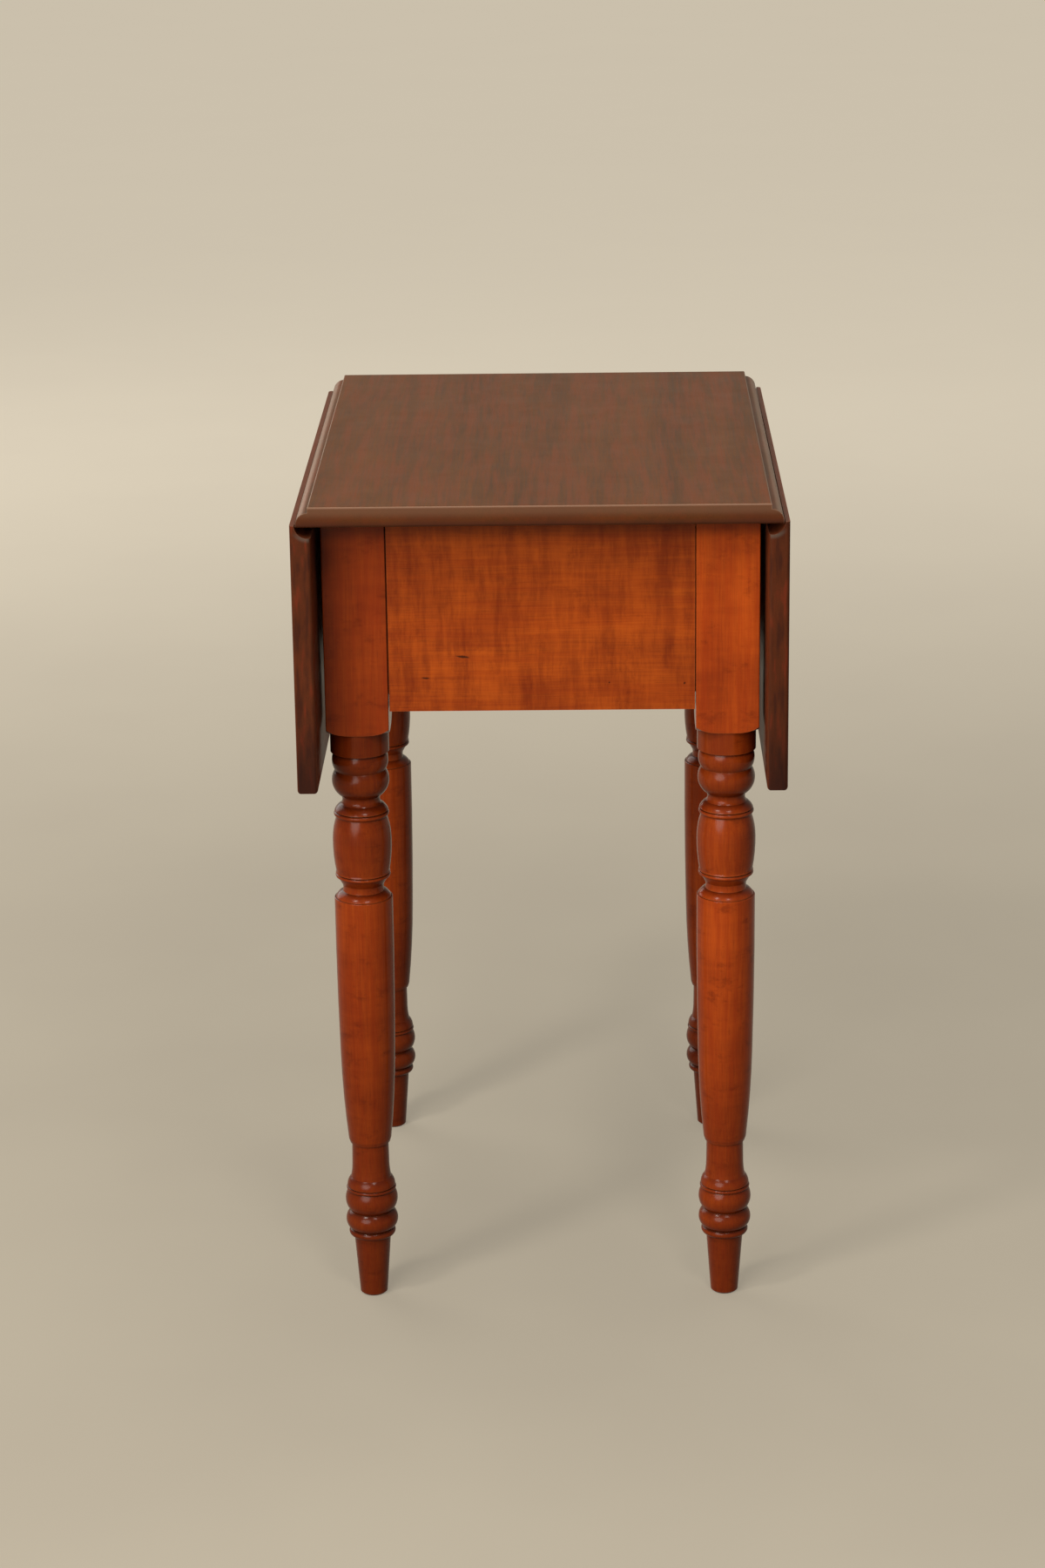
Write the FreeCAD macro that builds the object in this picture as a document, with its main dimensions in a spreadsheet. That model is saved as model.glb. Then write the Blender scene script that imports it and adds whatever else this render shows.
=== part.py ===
import FreeCAD, Part
import math
import os
import Sketcher
from types import SimpleNamespace

# A pembroke table seen from one end, with both leaves hanging.
# +X is to the right, +Y away from the viewer, +Z up, and the origin is on the floor under the middle.

SIZES = {
    # Top board and leaves
    "table_height": 724.0,
    "field_width": 373.0,
    "field_length": 522.0,
    "board_thick": 17.0,
    "step_height": 4.8,
    "ovolo_radius": 10.0,
    "field_arris": 1.5,
    "end_arris": 2.2,
    "leaf_width": 226.0,
    "leaf_arris": 3.0,
    "cove_gap": 1.0,
    "leaf_gap": 0.6,
    "leaf_rest_gap": 4.5,
    # Legs: square stock, where it stands, and the block that is left square
    "leg_square": 52.5,
    "leg_arris": 1.0,
    "end_overhang": 47.2,
    "block_length": 190.0,
    "pommel_rise": 6.0,
    "pommel_bulge": 1.4,
    # Upper turning, from the block down
    "collar_radius": 24.7,
    "collar_length": 19.5,
    "quirk_radius": 22.3,
    "quirk_length": 1.4,
    "bead_length": 15.0,
    "bead_root": 21.4,
    "bead_bulge": 1.9,
    "ogee_length": 21.0,
    "ogee_foot": 19.0,
    "ogee_bulge": 3.9,
    "waist_top": 18.3,
    "waist_length": 8.9,
    "waist_foot": 17.2,
    "waist_bulge": 1.9,
    "saucer_length": 5.9,
    "saucer_radius": 22.7,
    "saucer_bulge": 0.7,
    "groove_radius": 21.5,
    "groove_length": 0.8,
    "ring_radius": 22.2,
    "ring_length": 3.8,
    "ring_bulge": 1.1,
    "vase_top": 21.3,
    "vase_shoulder": 24.9,
    "vase_shoulder_length": 20.0,
    "vase_shoulder_bulge": 0.8,
    "vase_foot": 22.6,
    "vase_foot_length": 28.5,
    "vase_foot_bulge": 0.7,
    "lip_radius": 23.1,
    "lip_length": 1.2,
    "lip_groove": 22.1,
    "lip_ring_radius": 22.4,
    "lip_ring_length": 3.1,
    "lip_ring_bulge": 0.9,
    "undercut_top": 21.4,
    "undercut_length": 6.8,
    "neck_radius": 17.5,
    "neck_length": 5.6,
    "neck_bulge": 0.4,
    "cup_length": 5.2,
    "cup_radius": 23.4,
    "cup_bulge": 0.8,
    "cup_rim": 0.6,
    # Shaft, ankle and foot, from the floor up
    "shaft_top": 24.7,
    "shaft_arris": 0.8,
    "shaft_bulge": 0.5,
    "swell_radius": 23.4,
    "swell_height": 227.0,
    "swell_bulge": 0.9,
    "shaft_end": 18.4,
    "shaft_end_height": 146.5,
    "shaft_end_round": 3.2,
    "ankle_radius": 15.8,
    "ankle_low_radius": 16.1,
    "ankle_low_height": 123.0,
    "flare_radius": 20.9,
    "flare_height": 102.5,
    "flare_bulge": 0.8,
    "flare_neck_radius": 17.4,
    "flare_neck_height": 110.5,
    "flare_neck_bulge": 0.3,
    "fillet_length": 0.8,
    "fillet_radius": 20.0,
    "ankle_ring_radius": 20.6,
    "ankle_ring_length": 3.0,
    "ankle_ring_bulge": 0.9,
    "ankle_bead_root": 18.5,
    "upper_bead_top": 20.0,
    "upper_bead_length": 19.7,
    "upper_bead_bulge": 3.4,
    "lower_bead_length": 17.0,
    "lower_bead_bulge": 4.1,
    "foot_ring_radius": 18.6,
    "foot_ring_length": 6.0,
    "foot_ring_bulge": 1.7,
    "foot_top": 16.0,
    "foot_low": 11.9,
    "foot_round": 1.6,
    # End apron and side rails
    "apron_height": 169.0,
    "apron_thick": 22.0,
    "apron_setback": 2.0,
    "shoulder_gap": 0.8,
    "rail_thick": 20.0,
    "tenon_thick": 9.0,
    "tenon_length": 30.0,
    "tenon_shoulder": 17.0,
    "mortise_gap": 0.2,
    # Fly rails, brackets and pins
    "fly_height": 92.0,
    "fly_setback": 10.0,
    "fly_top_gap": 0.4,
    "fly_pivot": 20.0,
    "fly_end_length": 40.0,
    "fly_tip_gap": 0.8,
    "fly_gap": 0.4,
    "knuckle_height": 30.0,
    "fly_pin_radius": 3.0,
    "pin_gap": 0.05,
    # Drawer end
    "drawer_rail_thick": 20.0,
    "rail_tenon_length": 18.0,
    "runner_width": 30.0,
    "guide_height": 24.0,
    "guide_gap": 0.5,
    "drawer_gap": 1.0,
    "runner_gap": 0.2,
    "drawer_front_thick": 20.0,
    "drawer_lap": 12.0,
    "drawer_side_thick": 11.0,
    "drawer_side_drop": 4.0,
    "drawer_back_room": 45.0,
    "drawer_back_thick": 10.0,
    "drawer_bottom_thick": 8.0,
    "drawer_bottom_lift": 8.0,
    "groove_depth": 5.0,
    "stop_thick": 5.0,
    "stop_depth": 14.0,
    "stop_width": 34.0,
    "stop_inset": 42.0,
    "stop_gap": 0.3,
    # Drawer knobs
    "knob_inset": 56.0,
    "knob_length": 25.0,
    "knob_flat": 9.0,
    "knob_neck": 8.0,
    "knob_foot": 11.0,
    "knob_foot_length": 4.0,
    "knob_bulge": 7.0,
    "knob_dowel": 5.0,
    # Rule-joint hinges
    "hinge_inset": 125.0,
    "hinge_width": 36.0,
    "plate_thick": 2.0,
    "plate_corner_gap": 0.3,
    "short_plate": 32.0,
    "long_plate": 46.0,
    "plate_setoff": 5.6,
    "barrel_radius": 4.0,
    "barrel_room": 2.2,
    "knuckle_gap": 0.3,
    "hinge_pin_radius": 1.75,
    # Screws and glue blocks
    "screw_radius": 1.6,
    "screw_head": 3.4,
    "screw_head_height": 1.8,
    "hinge_screw_length": 12.0,
    "hinge_screw_spread": 22.0,
    "hinge_screw_inset": 9.0,
    "long_screw_length": 32.0,
    "screw_gap": 0.1,
    "top_screw_inset": 40.0,
    "fly_screw_inset": 18.0,
    "glue_block": 22.0,
    "glue_block_length": 60.0,
    "glue_block_inset": 60.0,
}

doc = FreeCAD.newDocument("pembroke_table")
sheet = doc.addObject("Spreadsheet::Sheet", "Sizes")
for row, (alias, number) in enumerate(SIZES.items(), start=1):
    sheet.set(f"A{row}", alias)
    sheet.set(f"B{row}", str(number))
    sheet.setAlias(f"B{row}", alias)
doc.recompute()


class Size:
    """A length: its value in millimetres and the sheet expression that gives it."""

    def __init__(self, value, text):
        self.value = float(value)
        self.text = text

    def __add__(self, other):
        other = as_size(other)
        return Size(self.value + other.value, f"({self.text} + {other.text})")

    def __sub__(self, other):
        other = as_size(other)
        return Size(self.value - other.value, f"({self.text} - {other.text})")

    def __mul__(self, other):
        other = as_size(other)
        return Size(self.value * other.value, f"({self.text} * {other.text})")

    def __truediv__(self, other):
        other = as_size(other)
        return Size(self.value / other.value, f"({self.text} / {other.text})")

    def __neg__(self):
        return Size(-self.value, f"(0 - {self.text})")


def as_size(length):
    return length if isinstance(length, Size) else Size(length, repr(float(length)))


dim = SimpleNamespace(**{alias: Size(number, f"Sizes.{alias}") for alias, number in SIZES.items()})
ORIGIN = as_size(0)


def bind(thing, prop, length):
    thing.setExpression(prop, as_size(length).text)


def place(thing, x=None, y=None, z=None, turn=0):
    """Gives a thing its place, and turns it about the table's upright middle line."""
    thing.Placement = FreeCAD.Placement(FreeCAD.Vector(), FreeCAD.Rotation(FreeCAD.Vector(0, 0, 1), turn))
    for axis, length in (("x", x), ("y", y), ("z", z)):
        if length is not None:
            bind(thing, f"Placement.Base.{axis}", length)
    return thing


def span(sign, near, far):
    """The low and high ends of a stretch on the positive or negative side of the middle."""
    return (near, far) if sign > 0 else (-far, -near)


def around(middle, width):
    return middle - width / 2, middle + width / 2


# Solids shared by many pieces

def block(name, x, y, z):
    """A rectangular block between low and high ends along each axis."""
    thing = doc.addObject("Part::Box", name)
    for prop, (low, high) in (("Length", x), ("Width", y), ("Height", z)):
        bind(thing, prop, high - low)
    return place(thing, x[0], y[0], z[0])


ALONG = {
    "x": FreeCAD.Rotation(FreeCAD.Vector(0, 1, 0), 90),
    "y": FreeCAD.Rotation(FreeCAD.Vector(1, 0, 0), -90),
    "z": FreeCAD.Rotation(),
}


def lay_along(thing, axis, start, centre):
    """Lays a round solid along an axis, from a start on it, at a centre given on the other two axes."""
    across = iter(centre)
    spots = [start if name == axis else next(across) for name in "xyz"]
    place(thing, *spots)
    thing.Placement = FreeCAD.Placement(thing.Placement.Base, ALONG[axis])
    return thing


def rod(name, axis, radius, centre, ends):
    thing = doc.addObject("Part::Cylinder", name)
    bind(thing, "Radius", radius)
    bind(thing, "Height", ends[1] - ends[0])
    return lay_along(thing, axis, ends[0], centre)


def taper(name, axis, radii, centre, ends):
    thing = doc.addObject("Part::Cone", name)
    bind(thing, "Radius1", radii[0])
    bind(thing, "Radius2", radii[1])
    bind(thing, "Height", ends[1] - ends[0])
    return lay_along(thing, axis, ends[0], centre)


def fuse(name, shapes):
    thing = doc.addObject("Part::MultiFuse", name)
    thing.Shapes = shapes
    thing.Refine = True
    return thing


def cut(name, base, tools):
    thing = doc.addObject("Part::Cut", name)
    thing.Base = base
    thing.Tool = tools[0] if len(tools) == 1 else fuse(f"{name}_tools", tools)
    thing.Refine = True
    return thing


def common(name, first, second):
    thing = doc.addObject("Part::Common", name)
    thing.Base = first
    thing.Tool = second
    return thing


def group(name, shapes):
    thing = doc.addObject("Part::Compound", name)
    thing.Links = shapes
    return thing


class Bulge:
    """Bows the next edge of an outline out of it by a height, or into it where the height is negative."""

    def __init__(self, height):
        self.height = height


def sketch(body, plane, outline):
    """A closed outline in a body's own plane, drawn clockwise, with every corner bound to the sheet."""
    thing = body.newObject("Sketcher::SketchObject", f"{body.Name}_outline")
    thing.AttachmentSupport = [(next(f for f in body.Origin.OriginFeatures if f.Role == plane), "")]
    thing.MapMode = "FlatFace"
    corners = [(as_size(item[0]), as_size(item[1])) for item in outline if not isinstance(item, Bulge)]
    bulges = {}
    count = 0
    for item in outline:
        if isinstance(item, Bulge):
            bulges[count - 1] = as_size(item.height)
        else:
            count += 1
    starts = []
    for i, corner in enumerate(corners):
        after = corners[(i + 1) % len(corners)]
        starts.append(draw_edge(thing, corner, after, bulges.get(i)))
    for i, (u, v) in enumerate(corners):
        before = starts[i - 1]
        here = starts[i]
        thing.addConstraint(Sketcher.Constraint("Coincident", before[0], 3 - before[1], here[0], here[1]))
        pin_corner(thing, here, u, "DistanceX", -2)
        pin_corner(thing, here, v, "DistanceY", -1)
    return thing


def draw_edge(thing, begin, finish, bulge):
    """Draws one straight or bowed edge, and gives its number and which of its ends is the begin."""
    a = FreeCAD.Vector(begin[0].value, begin[1].value, 0)
    b = FreeCAD.Vector(finish[0].value, finish[1].value, 0)
    if bulge is None:
        return thing.addGeometry(Part.LineSegment(a, b)), 1
    run = finish[0] - begin[0]
    rise = finish[1] - begin[1]
    outward = bulge.value > 0
    height = bulge if outward else -bulge
    radius = (run * run + rise * rise) / (height * 8) + height / 2
    left = FreeCAD.Vector(a.y - b.y, b.x - a.x, 0).normalize()
    side = left if outward else -left
    centre = (a + b) / 2 + side * (height.value - radius.value)
    first, last = (b, a) if outward else (a, b)
    circle = Part.Circle(centre, FreeCAD.Vector(0, 0, 1), radius.value)
    angles = [math.atan2(p.y - centre.y, p.x - centre.x) for p in (first, last)]
    edge = thing.addGeometry(Part.ArcOfCircle(circle, *angles))
    number = thing.addConstraint(Sketcher.Constraint("Radius", edge, radius.value))
    thing.setExpression(f"Constraints[{number}]", radius.text)
    return edge, 2 if outward else 1


def pin_corner(thing, end, length, kind, axis):
    if length.text == ORIGIN.text:
        thing.addConstraint(Sketcher.Constraint("PointOnObject", end[0], end[1], axis))
        return
    number = thing.addConstraint(Sketcher.Constraint(kind, end[0], end[1], length.value))
    thing.setExpression(f"Constraints[{number}]", length.text)


def extruded(name, plane, outline, length):
    """A body whose outline is padded evenly to both sides of its plane."""
    body = doc.addObject("PartDesign::Body", name)
    profile = sketch(body, plane, outline)
    pad = body.newObject("PartDesign::Pad", f"{name}_pad")
    pad.Profile = profile
    pad.SideType = "Symmetric"
    bind(pad, "Length", length)
    profile.Visibility = False
    return body


def turned(name, outline):
    """A body turned on a lathe, from half its outline beside the upright axis."""
    body = doc.addObject("PartDesign::Body", name)
    profile = sketch(body, "XZ_Plane", outline)
    spin = body.newObject("PartDesign::Revolution", f"{name}_spin")
    spin.Profile = profile
    spin.ReferenceAxis = (profile, ["V_Axis"])
    spin.Angle = 360
    profile.Visibility = False
    return body


def eased_rectangle(x, y, arris):
    """A clockwise rectangle with all four corners rounded, between low and high ends along each axis."""
    round_bulge = Bulge(arris * (1 - math.sqrt(0.5)))
    return [
        (x[0] + arris, y[1]), (x[1] - arris, y[1]), round_bulge,
        (x[1], y[1] - arris), (x[1], y[0] + arris), round_bulge,
        (x[1] - arris, y[0]), (x[0] + arris, y[0]), round_bulge,
        (x[0], y[0] + arris), (x[0], y[1] - arris), round_bulge,
    ]


# Levels and places that several pieces share

QUARTER = 1 - math.sqrt(0.5)
underside = dim.table_height - dim.board_thick
hinge_x = dim.field_width / 2
hinge_z = dim.table_height - dim.step_height - dim.ovolo_radius
axis_lift = hinge_z - underside
leaf_outer = hinge_x + dim.step_height + dim.ovolo_radius
leaf_inner = leaf_outer - dim.board_thick
leaf_top = hinge_z - dim.leaf_gap
leaf_low = leaf_top - dim.leaf_width
leg_outer = leaf_inner - dim.leaf_rest_gap
leg_x = leg_outer - dim.leg_square / 2
leg_inner = leg_outer - dim.leg_square
leg_end = dim.field_length / 2 - dim.end_overhang
leg_y = leg_end - dim.leg_square / 2
leg_back = leg_end - dim.leg_square
block_low = underside - dim.block_length
apron_low = underside - dim.apron_height
rail_outer = leg_outer - dim.fly_setback - dim.rail_thick
rail_inner = rail_outer - dim.rail_thick
nodes = []


# Screws: a countersunk head, flush with the surface that it is driven into, and a plain shank

def screw(name, axis, head_at, centre, length, room=0):
    """A screw driven along an axis, or the slightly larger hole for one where room is given."""
    room = as_size(room)
    head_end = head_at + dim.screw_head_height
    head_radii = (dim.screw_head + room, dim.screw_radius + room)
    head = taper(f"{name}_head", axis, head_radii, centre, (head_at, head_end))
    shank = rod(f"{name}_shank", axis, dim.screw_radius + room, centre, (head_at, head_at + length + room))
    return fuse(name, [head, shank])


# Top board: a moulded section with the rule-joint ovolo along both sides, eased at its plain ends

def ovolo_side(sign):
    """Field corner, step and ovolo on one side of the clockwise section, up to the widest point."""
    arris = dim.field_arris
    edge = hinge_x * sign
    corner = [
        (edge - arris * sign, dim.table_height), Bulge(arris * QUARTER), (edge, dim.table_height - arris),
        (edge, hinge_z + dim.ovolo_radius), Bulge(dim.ovolo_radius * QUARTER),
        (edge + dim.ovolo_radius * sign, hinge_z),
    ]
    if sign > 0:
        return corner
    return [corner[5], corner[4], corner[3], corner[2], corner[1], corner[0]]


def lower_curve(sign):
    """Where the ovolo, carried on below its widest point, meets the underside of the board."""
    reach_square = dim.ovolo_radius * dim.ovolo_radius - axis_lift * axis_lift
    reach = Size(math.sqrt(reach_square.value), f"sqrt({reach_square.text})")
    return (hinge_x + reach) * sign, underside, dim.ovolo_radius - reach


low_right = lower_curve(1)
low_left = lower_curve(-1)
lower_chord = low_right[2] * low_right[2] + axis_lift * axis_lift
half_chord_square = lower_chord / 4
lower_rise = dim.ovolo_radius * dim.ovolo_radius - half_chord_square
lower_bulge = dim.ovolo_radius - Size(math.sqrt(lower_rise.value), f"sqrt({lower_rise.text})")
across_outline = [
    *ovolo_side(1), Bulge(lower_bulge), low_right[:2],
    low_left[:2], Bulge(lower_bulge), *ovolo_side(-1),
]
top_across = extruded("top_across", "XZ_Plane", across_outline, dim.field_length + dim.ovolo_radius * 4)
top_ends = around(ORIGIN, dim.field_length)
along_outline = eased_rectangle(top_ends, (underside, dim.table_height), dim.end_arris)
top_along = extruded("top_along", "YZ_Plane", along_outline, dim.field_width + dim.ovolo_radius * 4)
top_blank = common("top_blank", top_across, top_along)

# Leaves: a moulded profile with the rule-joint cove, eased along the lower edge and at both ends

cove_radius = dim.ovolo_radius + dim.cove_gap
cove_out_square = cove_radius * cove_radius - dim.leaf_gap * dim.leaf_gap
cove_out = hinge_x + Size(math.sqrt(cove_out_square.value), f"sqrt({cove_out_square.text})")
cove_in = hinge_x - leaf_inner
cove_down_square = cove_radius * cove_radius - cove_in * cove_in
cove_low = hinge_z - Size(math.sqrt(cove_down_square.value), f"sqrt({cove_down_square.text})")
cove_run = cove_out - leaf_inner
cove_rise = leaf_top - cove_low
cove_chord_square = cove_run * cove_run + cove_rise * cove_rise
cove_rest = cove_radius * cove_radius - cove_chord_square / 4
cove_sag = cove_radius - Size(math.sqrt(cove_rest.value), f"sqrt({cove_rest.text})")
leaf_outline = [
    (leaf_inner, cove_low), Bulge(-cove_sag), (cove_out, leaf_top), (leaf_outer, leaf_top),
    (leaf_outer, leaf_low + dim.leaf_arris), Bulge(dim.leaf_arris * QUARTER),
    (leaf_outer - dim.leaf_arris, leaf_low), (leaf_inner + dim.leaf_arris, leaf_low),
    Bulge(dim.leaf_arris * QUARTER), (leaf_inner, leaf_low + dim.leaf_arris),
]
leaf_section = extruded("leaf_section", "XZ_Plane", leaf_outline, dim.field_length)
leaf_plan_outline = eased_rectangle((leaf_inner, leaf_outer), top_ends, dim.leaf_arris)
leaf_plan = extruded("leaf_plan", "XY_Plane", leaf_plan_outline, dim.table_height * 2)
leaf_blank = common("leaf_blank", leaf_section, leaf_plan)

# Rule-joint hinges, drawn at the middle of the right edge: the short plate lies under the top with the
# two outer knuckles, the long plate lies on the leaf with the middle one, and a pin runs through all three

barrel_centre = (hinge_x, hinge_z)
hinge_y = around(ORIGIN, dim.hinge_width)
knuckle_width = dim.hinge_width / 3 - dim.knuckle_gap
middle_y = around(ORIGIN, knuckle_width)
outer_y = [(hinge_y[0], hinge_y[0] + knuckle_width), (hinge_y[1] - knuckle_width, hinge_y[1])]
plate_edge = hinge_x - dim.plate_setoff
short_end = plate_edge - dim.short_plate
plate_level = (underside, underside + dim.plate_thick)
long_edge = hinge_z - dim.plate_setoff
long_end = long_edge - dim.long_plate
plate_face = (leaf_inner, leaf_inner + dim.plate_thick)
pin_room = dim.hinge_pin_radius + dim.pin_gap
pin_hole = rod("hinge_pin_hole", "y", pin_room, barrel_centre, around(ORIGIN, dim.hinge_width * 2))
short_screws = []
short_holes = []
long_screws = []
long_holes = []
for number, (along, inset) in enumerate(((-1, 1), (1, 1), (0, 2)), start=1):
    screw_y = dim.hinge_screw_spread / 2 * along
    screw_x = plate_edge - dim.hinge_screw_inset * inset
    screw_z = long_edge - dim.hinge_screw_inset * inset
    top_spot = ("z", underside, (screw_x, screw_y), dim.hinge_screw_length)
    leaf_spot = ("x", leaf_inner, (screw_y, screw_z), dim.hinge_screw_length)
    short_screws.append(screw(f"short_plate_screw_{number}", *top_spot))
    short_holes.append(screw(f"short_plate_hole_{number}", *top_spot, dim.screw_gap))
    long_screws.append(screw(f"long_plate_screw_{number}", *leaf_spot))
    long_holes.append(screw(f"long_plate_hole_{number}", *leaf_spot, dim.screw_gap))
short_solids = [block("short_plate_leaf", (short_end, plate_edge), hinge_y, plate_level)]
for number, y in enumerate(outer_y, start=1):
    short_solids.append(block(f"short_plate_tab_{number}", (plate_edge, hinge_x), y, plate_level))
    short_solids.append(rod(f"short_plate_knuckle_{number}", "y", dim.barrel_radius, barrel_centre, y))
short_plate = fuse("short_plate_solid", short_solids)
long_plate = fuse("long_plate_solid", [
    block("long_plate_leaf", plate_face, hinge_y, (long_end, long_edge)),
    block("long_plate_tab", plate_face, middle_y, (long_edge, hinge_z)),
    rod("long_plate_knuckle", "y", dim.barrel_radius, barrel_centre, middle_y),
])
gain_y = around(ORIGIN, dim.hinge_width + dim.plate_corner_gap * 2)
swing_reach = hinge_x + dim.ovolo_radius * 2
top_gain = fuse("top_gain", [
    block("top_gain_plate", (short_end - dim.plate_corner_gap, hinge_x), gain_y,
          (underside - dim.plate_thick, plate_level[1])),
    block("top_gain_swing", (plate_edge, swing_reach), gain_y,
          (underside - dim.plate_thick, plate_level[1] + dim.knuckle_gap)),
    rod("top_gain_barrel", "y", dim.barrel_radius + dim.barrel_room, barrel_centre, gain_y),
    *short_holes,
])
leaf_gain = fuse("leaf_gain", [
    block("leaf_gain_plate", (leaf_inner - dim.plate_thick, plate_face[1]), gain_y,
          (long_end - dim.plate_corner_gap, hinge_z)),
    *long_holes,
])
hinge_back = dim.field_length / 2 - dim.hinge_inset
hinge_spots = {"front": -hinge_back, "back": hinge_back}
top_gains = []
leaf_gains = []
top_screw_sets = []
leaf_screw_sets = []
for end, y in hinge_spots.items():
    leaf_gains.append(place(group(f"leaf_gain_{end}", [leaf_gain]), y=y))
    leaf_screw_sets.append(place(group(f"leaf_screws_{end}", long_screws), y=y))
for side, turn in (("right", 0), ("left", 180)):
    for end, y in hinge_spots.items():
        name = f"{side}_{end}_hinge"
        top_gains.append(place(group(f"top_gain_{side}_{end}", [top_gain]), y=y, turn=turn))
        top_screw_sets.append(place(group(f"top_screws_{side}_{end}", short_screws), y=y, turn=turn))
        nodes.append(place(cut(f"{name}_short_plate", short_plate, [pin_hole, *short_holes]), y=y, turn=turn))
        nodes.append(place(cut(f"{name}_long_plate", long_plate, [pin_hole, *long_holes]), y=y, turn=turn))
        pin = rod(f"{name}_pin_rod", "y", dim.hinge_pin_radius, barrel_centre, hinge_y)
        nodes.append(place(group(f"{name}_pin", [pin]), y=y, turn=turn))
    nodes.append(place(cut(f"{side}_leaf", leaf_blank, leaf_gains), turn=turn))
    nodes.append(place(group(f"{side}_leaf_screws", leaf_screw_sets), turn=turn))
nodes.append(group("top_hinge_screws", top_screw_sets))

# Legs: square stock, turned below the block; the outline runs down the outside from the top

leg_width = around(ORIGIN, dim.leg_square)
stock_outline = eased_rectangle(leg_width, leg_width, dim.leg_arris)
stock = extruded("leg_stock", "XY_Plane", stock_outline, underside * 2)
corner_radius = dim.leg_square * math.sqrt(0.5)
collar_low = block_low - dim.collar_length
quirk_low = collar_low - dim.quirk_length
bead_low = quirk_low - dim.bead_length
ogee_low = bead_low - dim.ogee_length
waist_low = ogee_low - dim.waist_length
saucer_low = waist_low - dim.saucer_length
ring_high = saucer_low - dim.groove_length
ring_low = ring_high - dim.ring_length
vase_high = ring_low - dim.groove_length
shoulder_low = vase_high - dim.vase_shoulder_length
vase_low = shoulder_low - dim.vase_foot_length
lip_low = vase_low - dim.lip_length
lip_ring_high = lip_low - dim.groove_length
lip_ring_low = lip_ring_high - dim.lip_ring_length
undercut_low = lip_ring_low - dim.undercut_length
neck_low = undercut_low - dim.neck_length
cup_low = neck_low - dim.cup_length
shaft_high = cup_low - dim.cup_rim
shaft_end_low = dim.shaft_end_height - dim.shaft_end_round
fillet_low = dim.flare_height - dim.fillet_length
ankle_ring_low = fillet_low - dim.ankle_ring_length
upper_bead_low = ankle_ring_low - dim.upper_bead_length
lower_bead_low = upper_bead_low - dim.lower_bead_length
foot_ring_low = lower_bead_low - dim.foot_ring_length
leg_outline = [
    (0, underside), (corner_radius, underside), (corner_radius, block_low + dim.pommel_rise),
    Bulge(dim.pommel_bulge), (dim.leg_square / 2, block_low),
    (dim.collar_radius, block_low), (dim.collar_radius, collar_low),
    (dim.quirk_radius, collar_low), (dim.quirk_radius, quirk_low), Bulge(dim.bead_bulge),
    (dim.bead_root, bead_low), Bulge(dim.ogee_bulge),
    (dim.ogee_foot, ogee_low), (dim.waist_top, ogee_low), Bulge(-dim.waist_bulge),
    (dim.waist_foot, waist_low), Bulge(dim.saucer_bulge), (dim.saucer_radius, saucer_low),
    (dim.groove_radius, saucer_low), (dim.groove_radius, ring_high),
    (dim.ring_radius, ring_high), Bulge(dim.ring_bulge), (dim.ring_radius, ring_low),
    (dim.groove_radius, ring_low), (dim.vase_top, vase_high), Bulge(dim.vase_shoulder_bulge),
    (dim.vase_shoulder, shoulder_low), Bulge(dim.vase_foot_bulge), (dim.vase_foot, vase_low),
    (dim.lip_radius, lip_low), (dim.lip_groove, lip_low), (dim.lip_groove, lip_ring_high),
    (dim.lip_ring_radius, lip_ring_high), Bulge(dim.lip_ring_bulge),
    (dim.lip_ring_radius, lip_ring_low), (dim.undercut_top, lip_ring_low),
    (dim.neck_radius, undercut_low), Bulge(-dim.neck_bulge), (dim.neck_radius, neck_low),
    Bulge(dim.cup_bulge), (dim.cup_radius, cup_low), (dim.cup_radius, shaft_high),
    (dim.shaft_top - dim.shaft_arris, shaft_high), Bulge(dim.shaft_arris * QUARTER),
    (dim.shaft_top, shaft_high - dim.shaft_arris), Bulge(dim.shaft_bulge),
    (dim.swell_radius, dim.swell_height), Bulge(dim.swell_bulge),
    (dim.shaft_end, dim.shaft_end_height), (dim.ankle_radius + dim.foot_round, shaft_end_low),
    (dim.ankle_radius, shaft_end_low), (dim.ankle_low_radius, dim.ankle_low_height),
    Bulge(-dim.flare_neck_bulge), (dim.flare_neck_radius, dim.flare_neck_height),
    Bulge(dim.flare_bulge), (dim.flare_radius, dim.flare_height),
    (dim.fillet_radius, dim.flare_height), (dim.fillet_radius, fillet_low),
    (dim.ankle_ring_radius, fillet_low), Bulge(dim.ankle_ring_bulge),
    (dim.ankle_ring_radius, ankle_ring_low), (dim.upper_bead_top, ankle_ring_low),
    Bulge(dim.upper_bead_bulge), (dim.ankle_bead_root, upper_bead_low), Bulge(dim.lower_bead_bulge),
    (dim.ankle_bead_root, lower_bead_low), Bulge(dim.foot_ring_bulge),
    (dim.foot_ring_radius, foot_ring_low), (dim.foot_top, foot_ring_low),
    (dim.foot_low, dim.foot_round), (dim.foot_low - dim.foot_round, 0), (0, 0),
]
leg_blank = common("leg_blank", stock, turned("leg_turning", leg_outline))

# Tenons: the apron and the side rails share one height of tenon, the drawer rails have small ones

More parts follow.
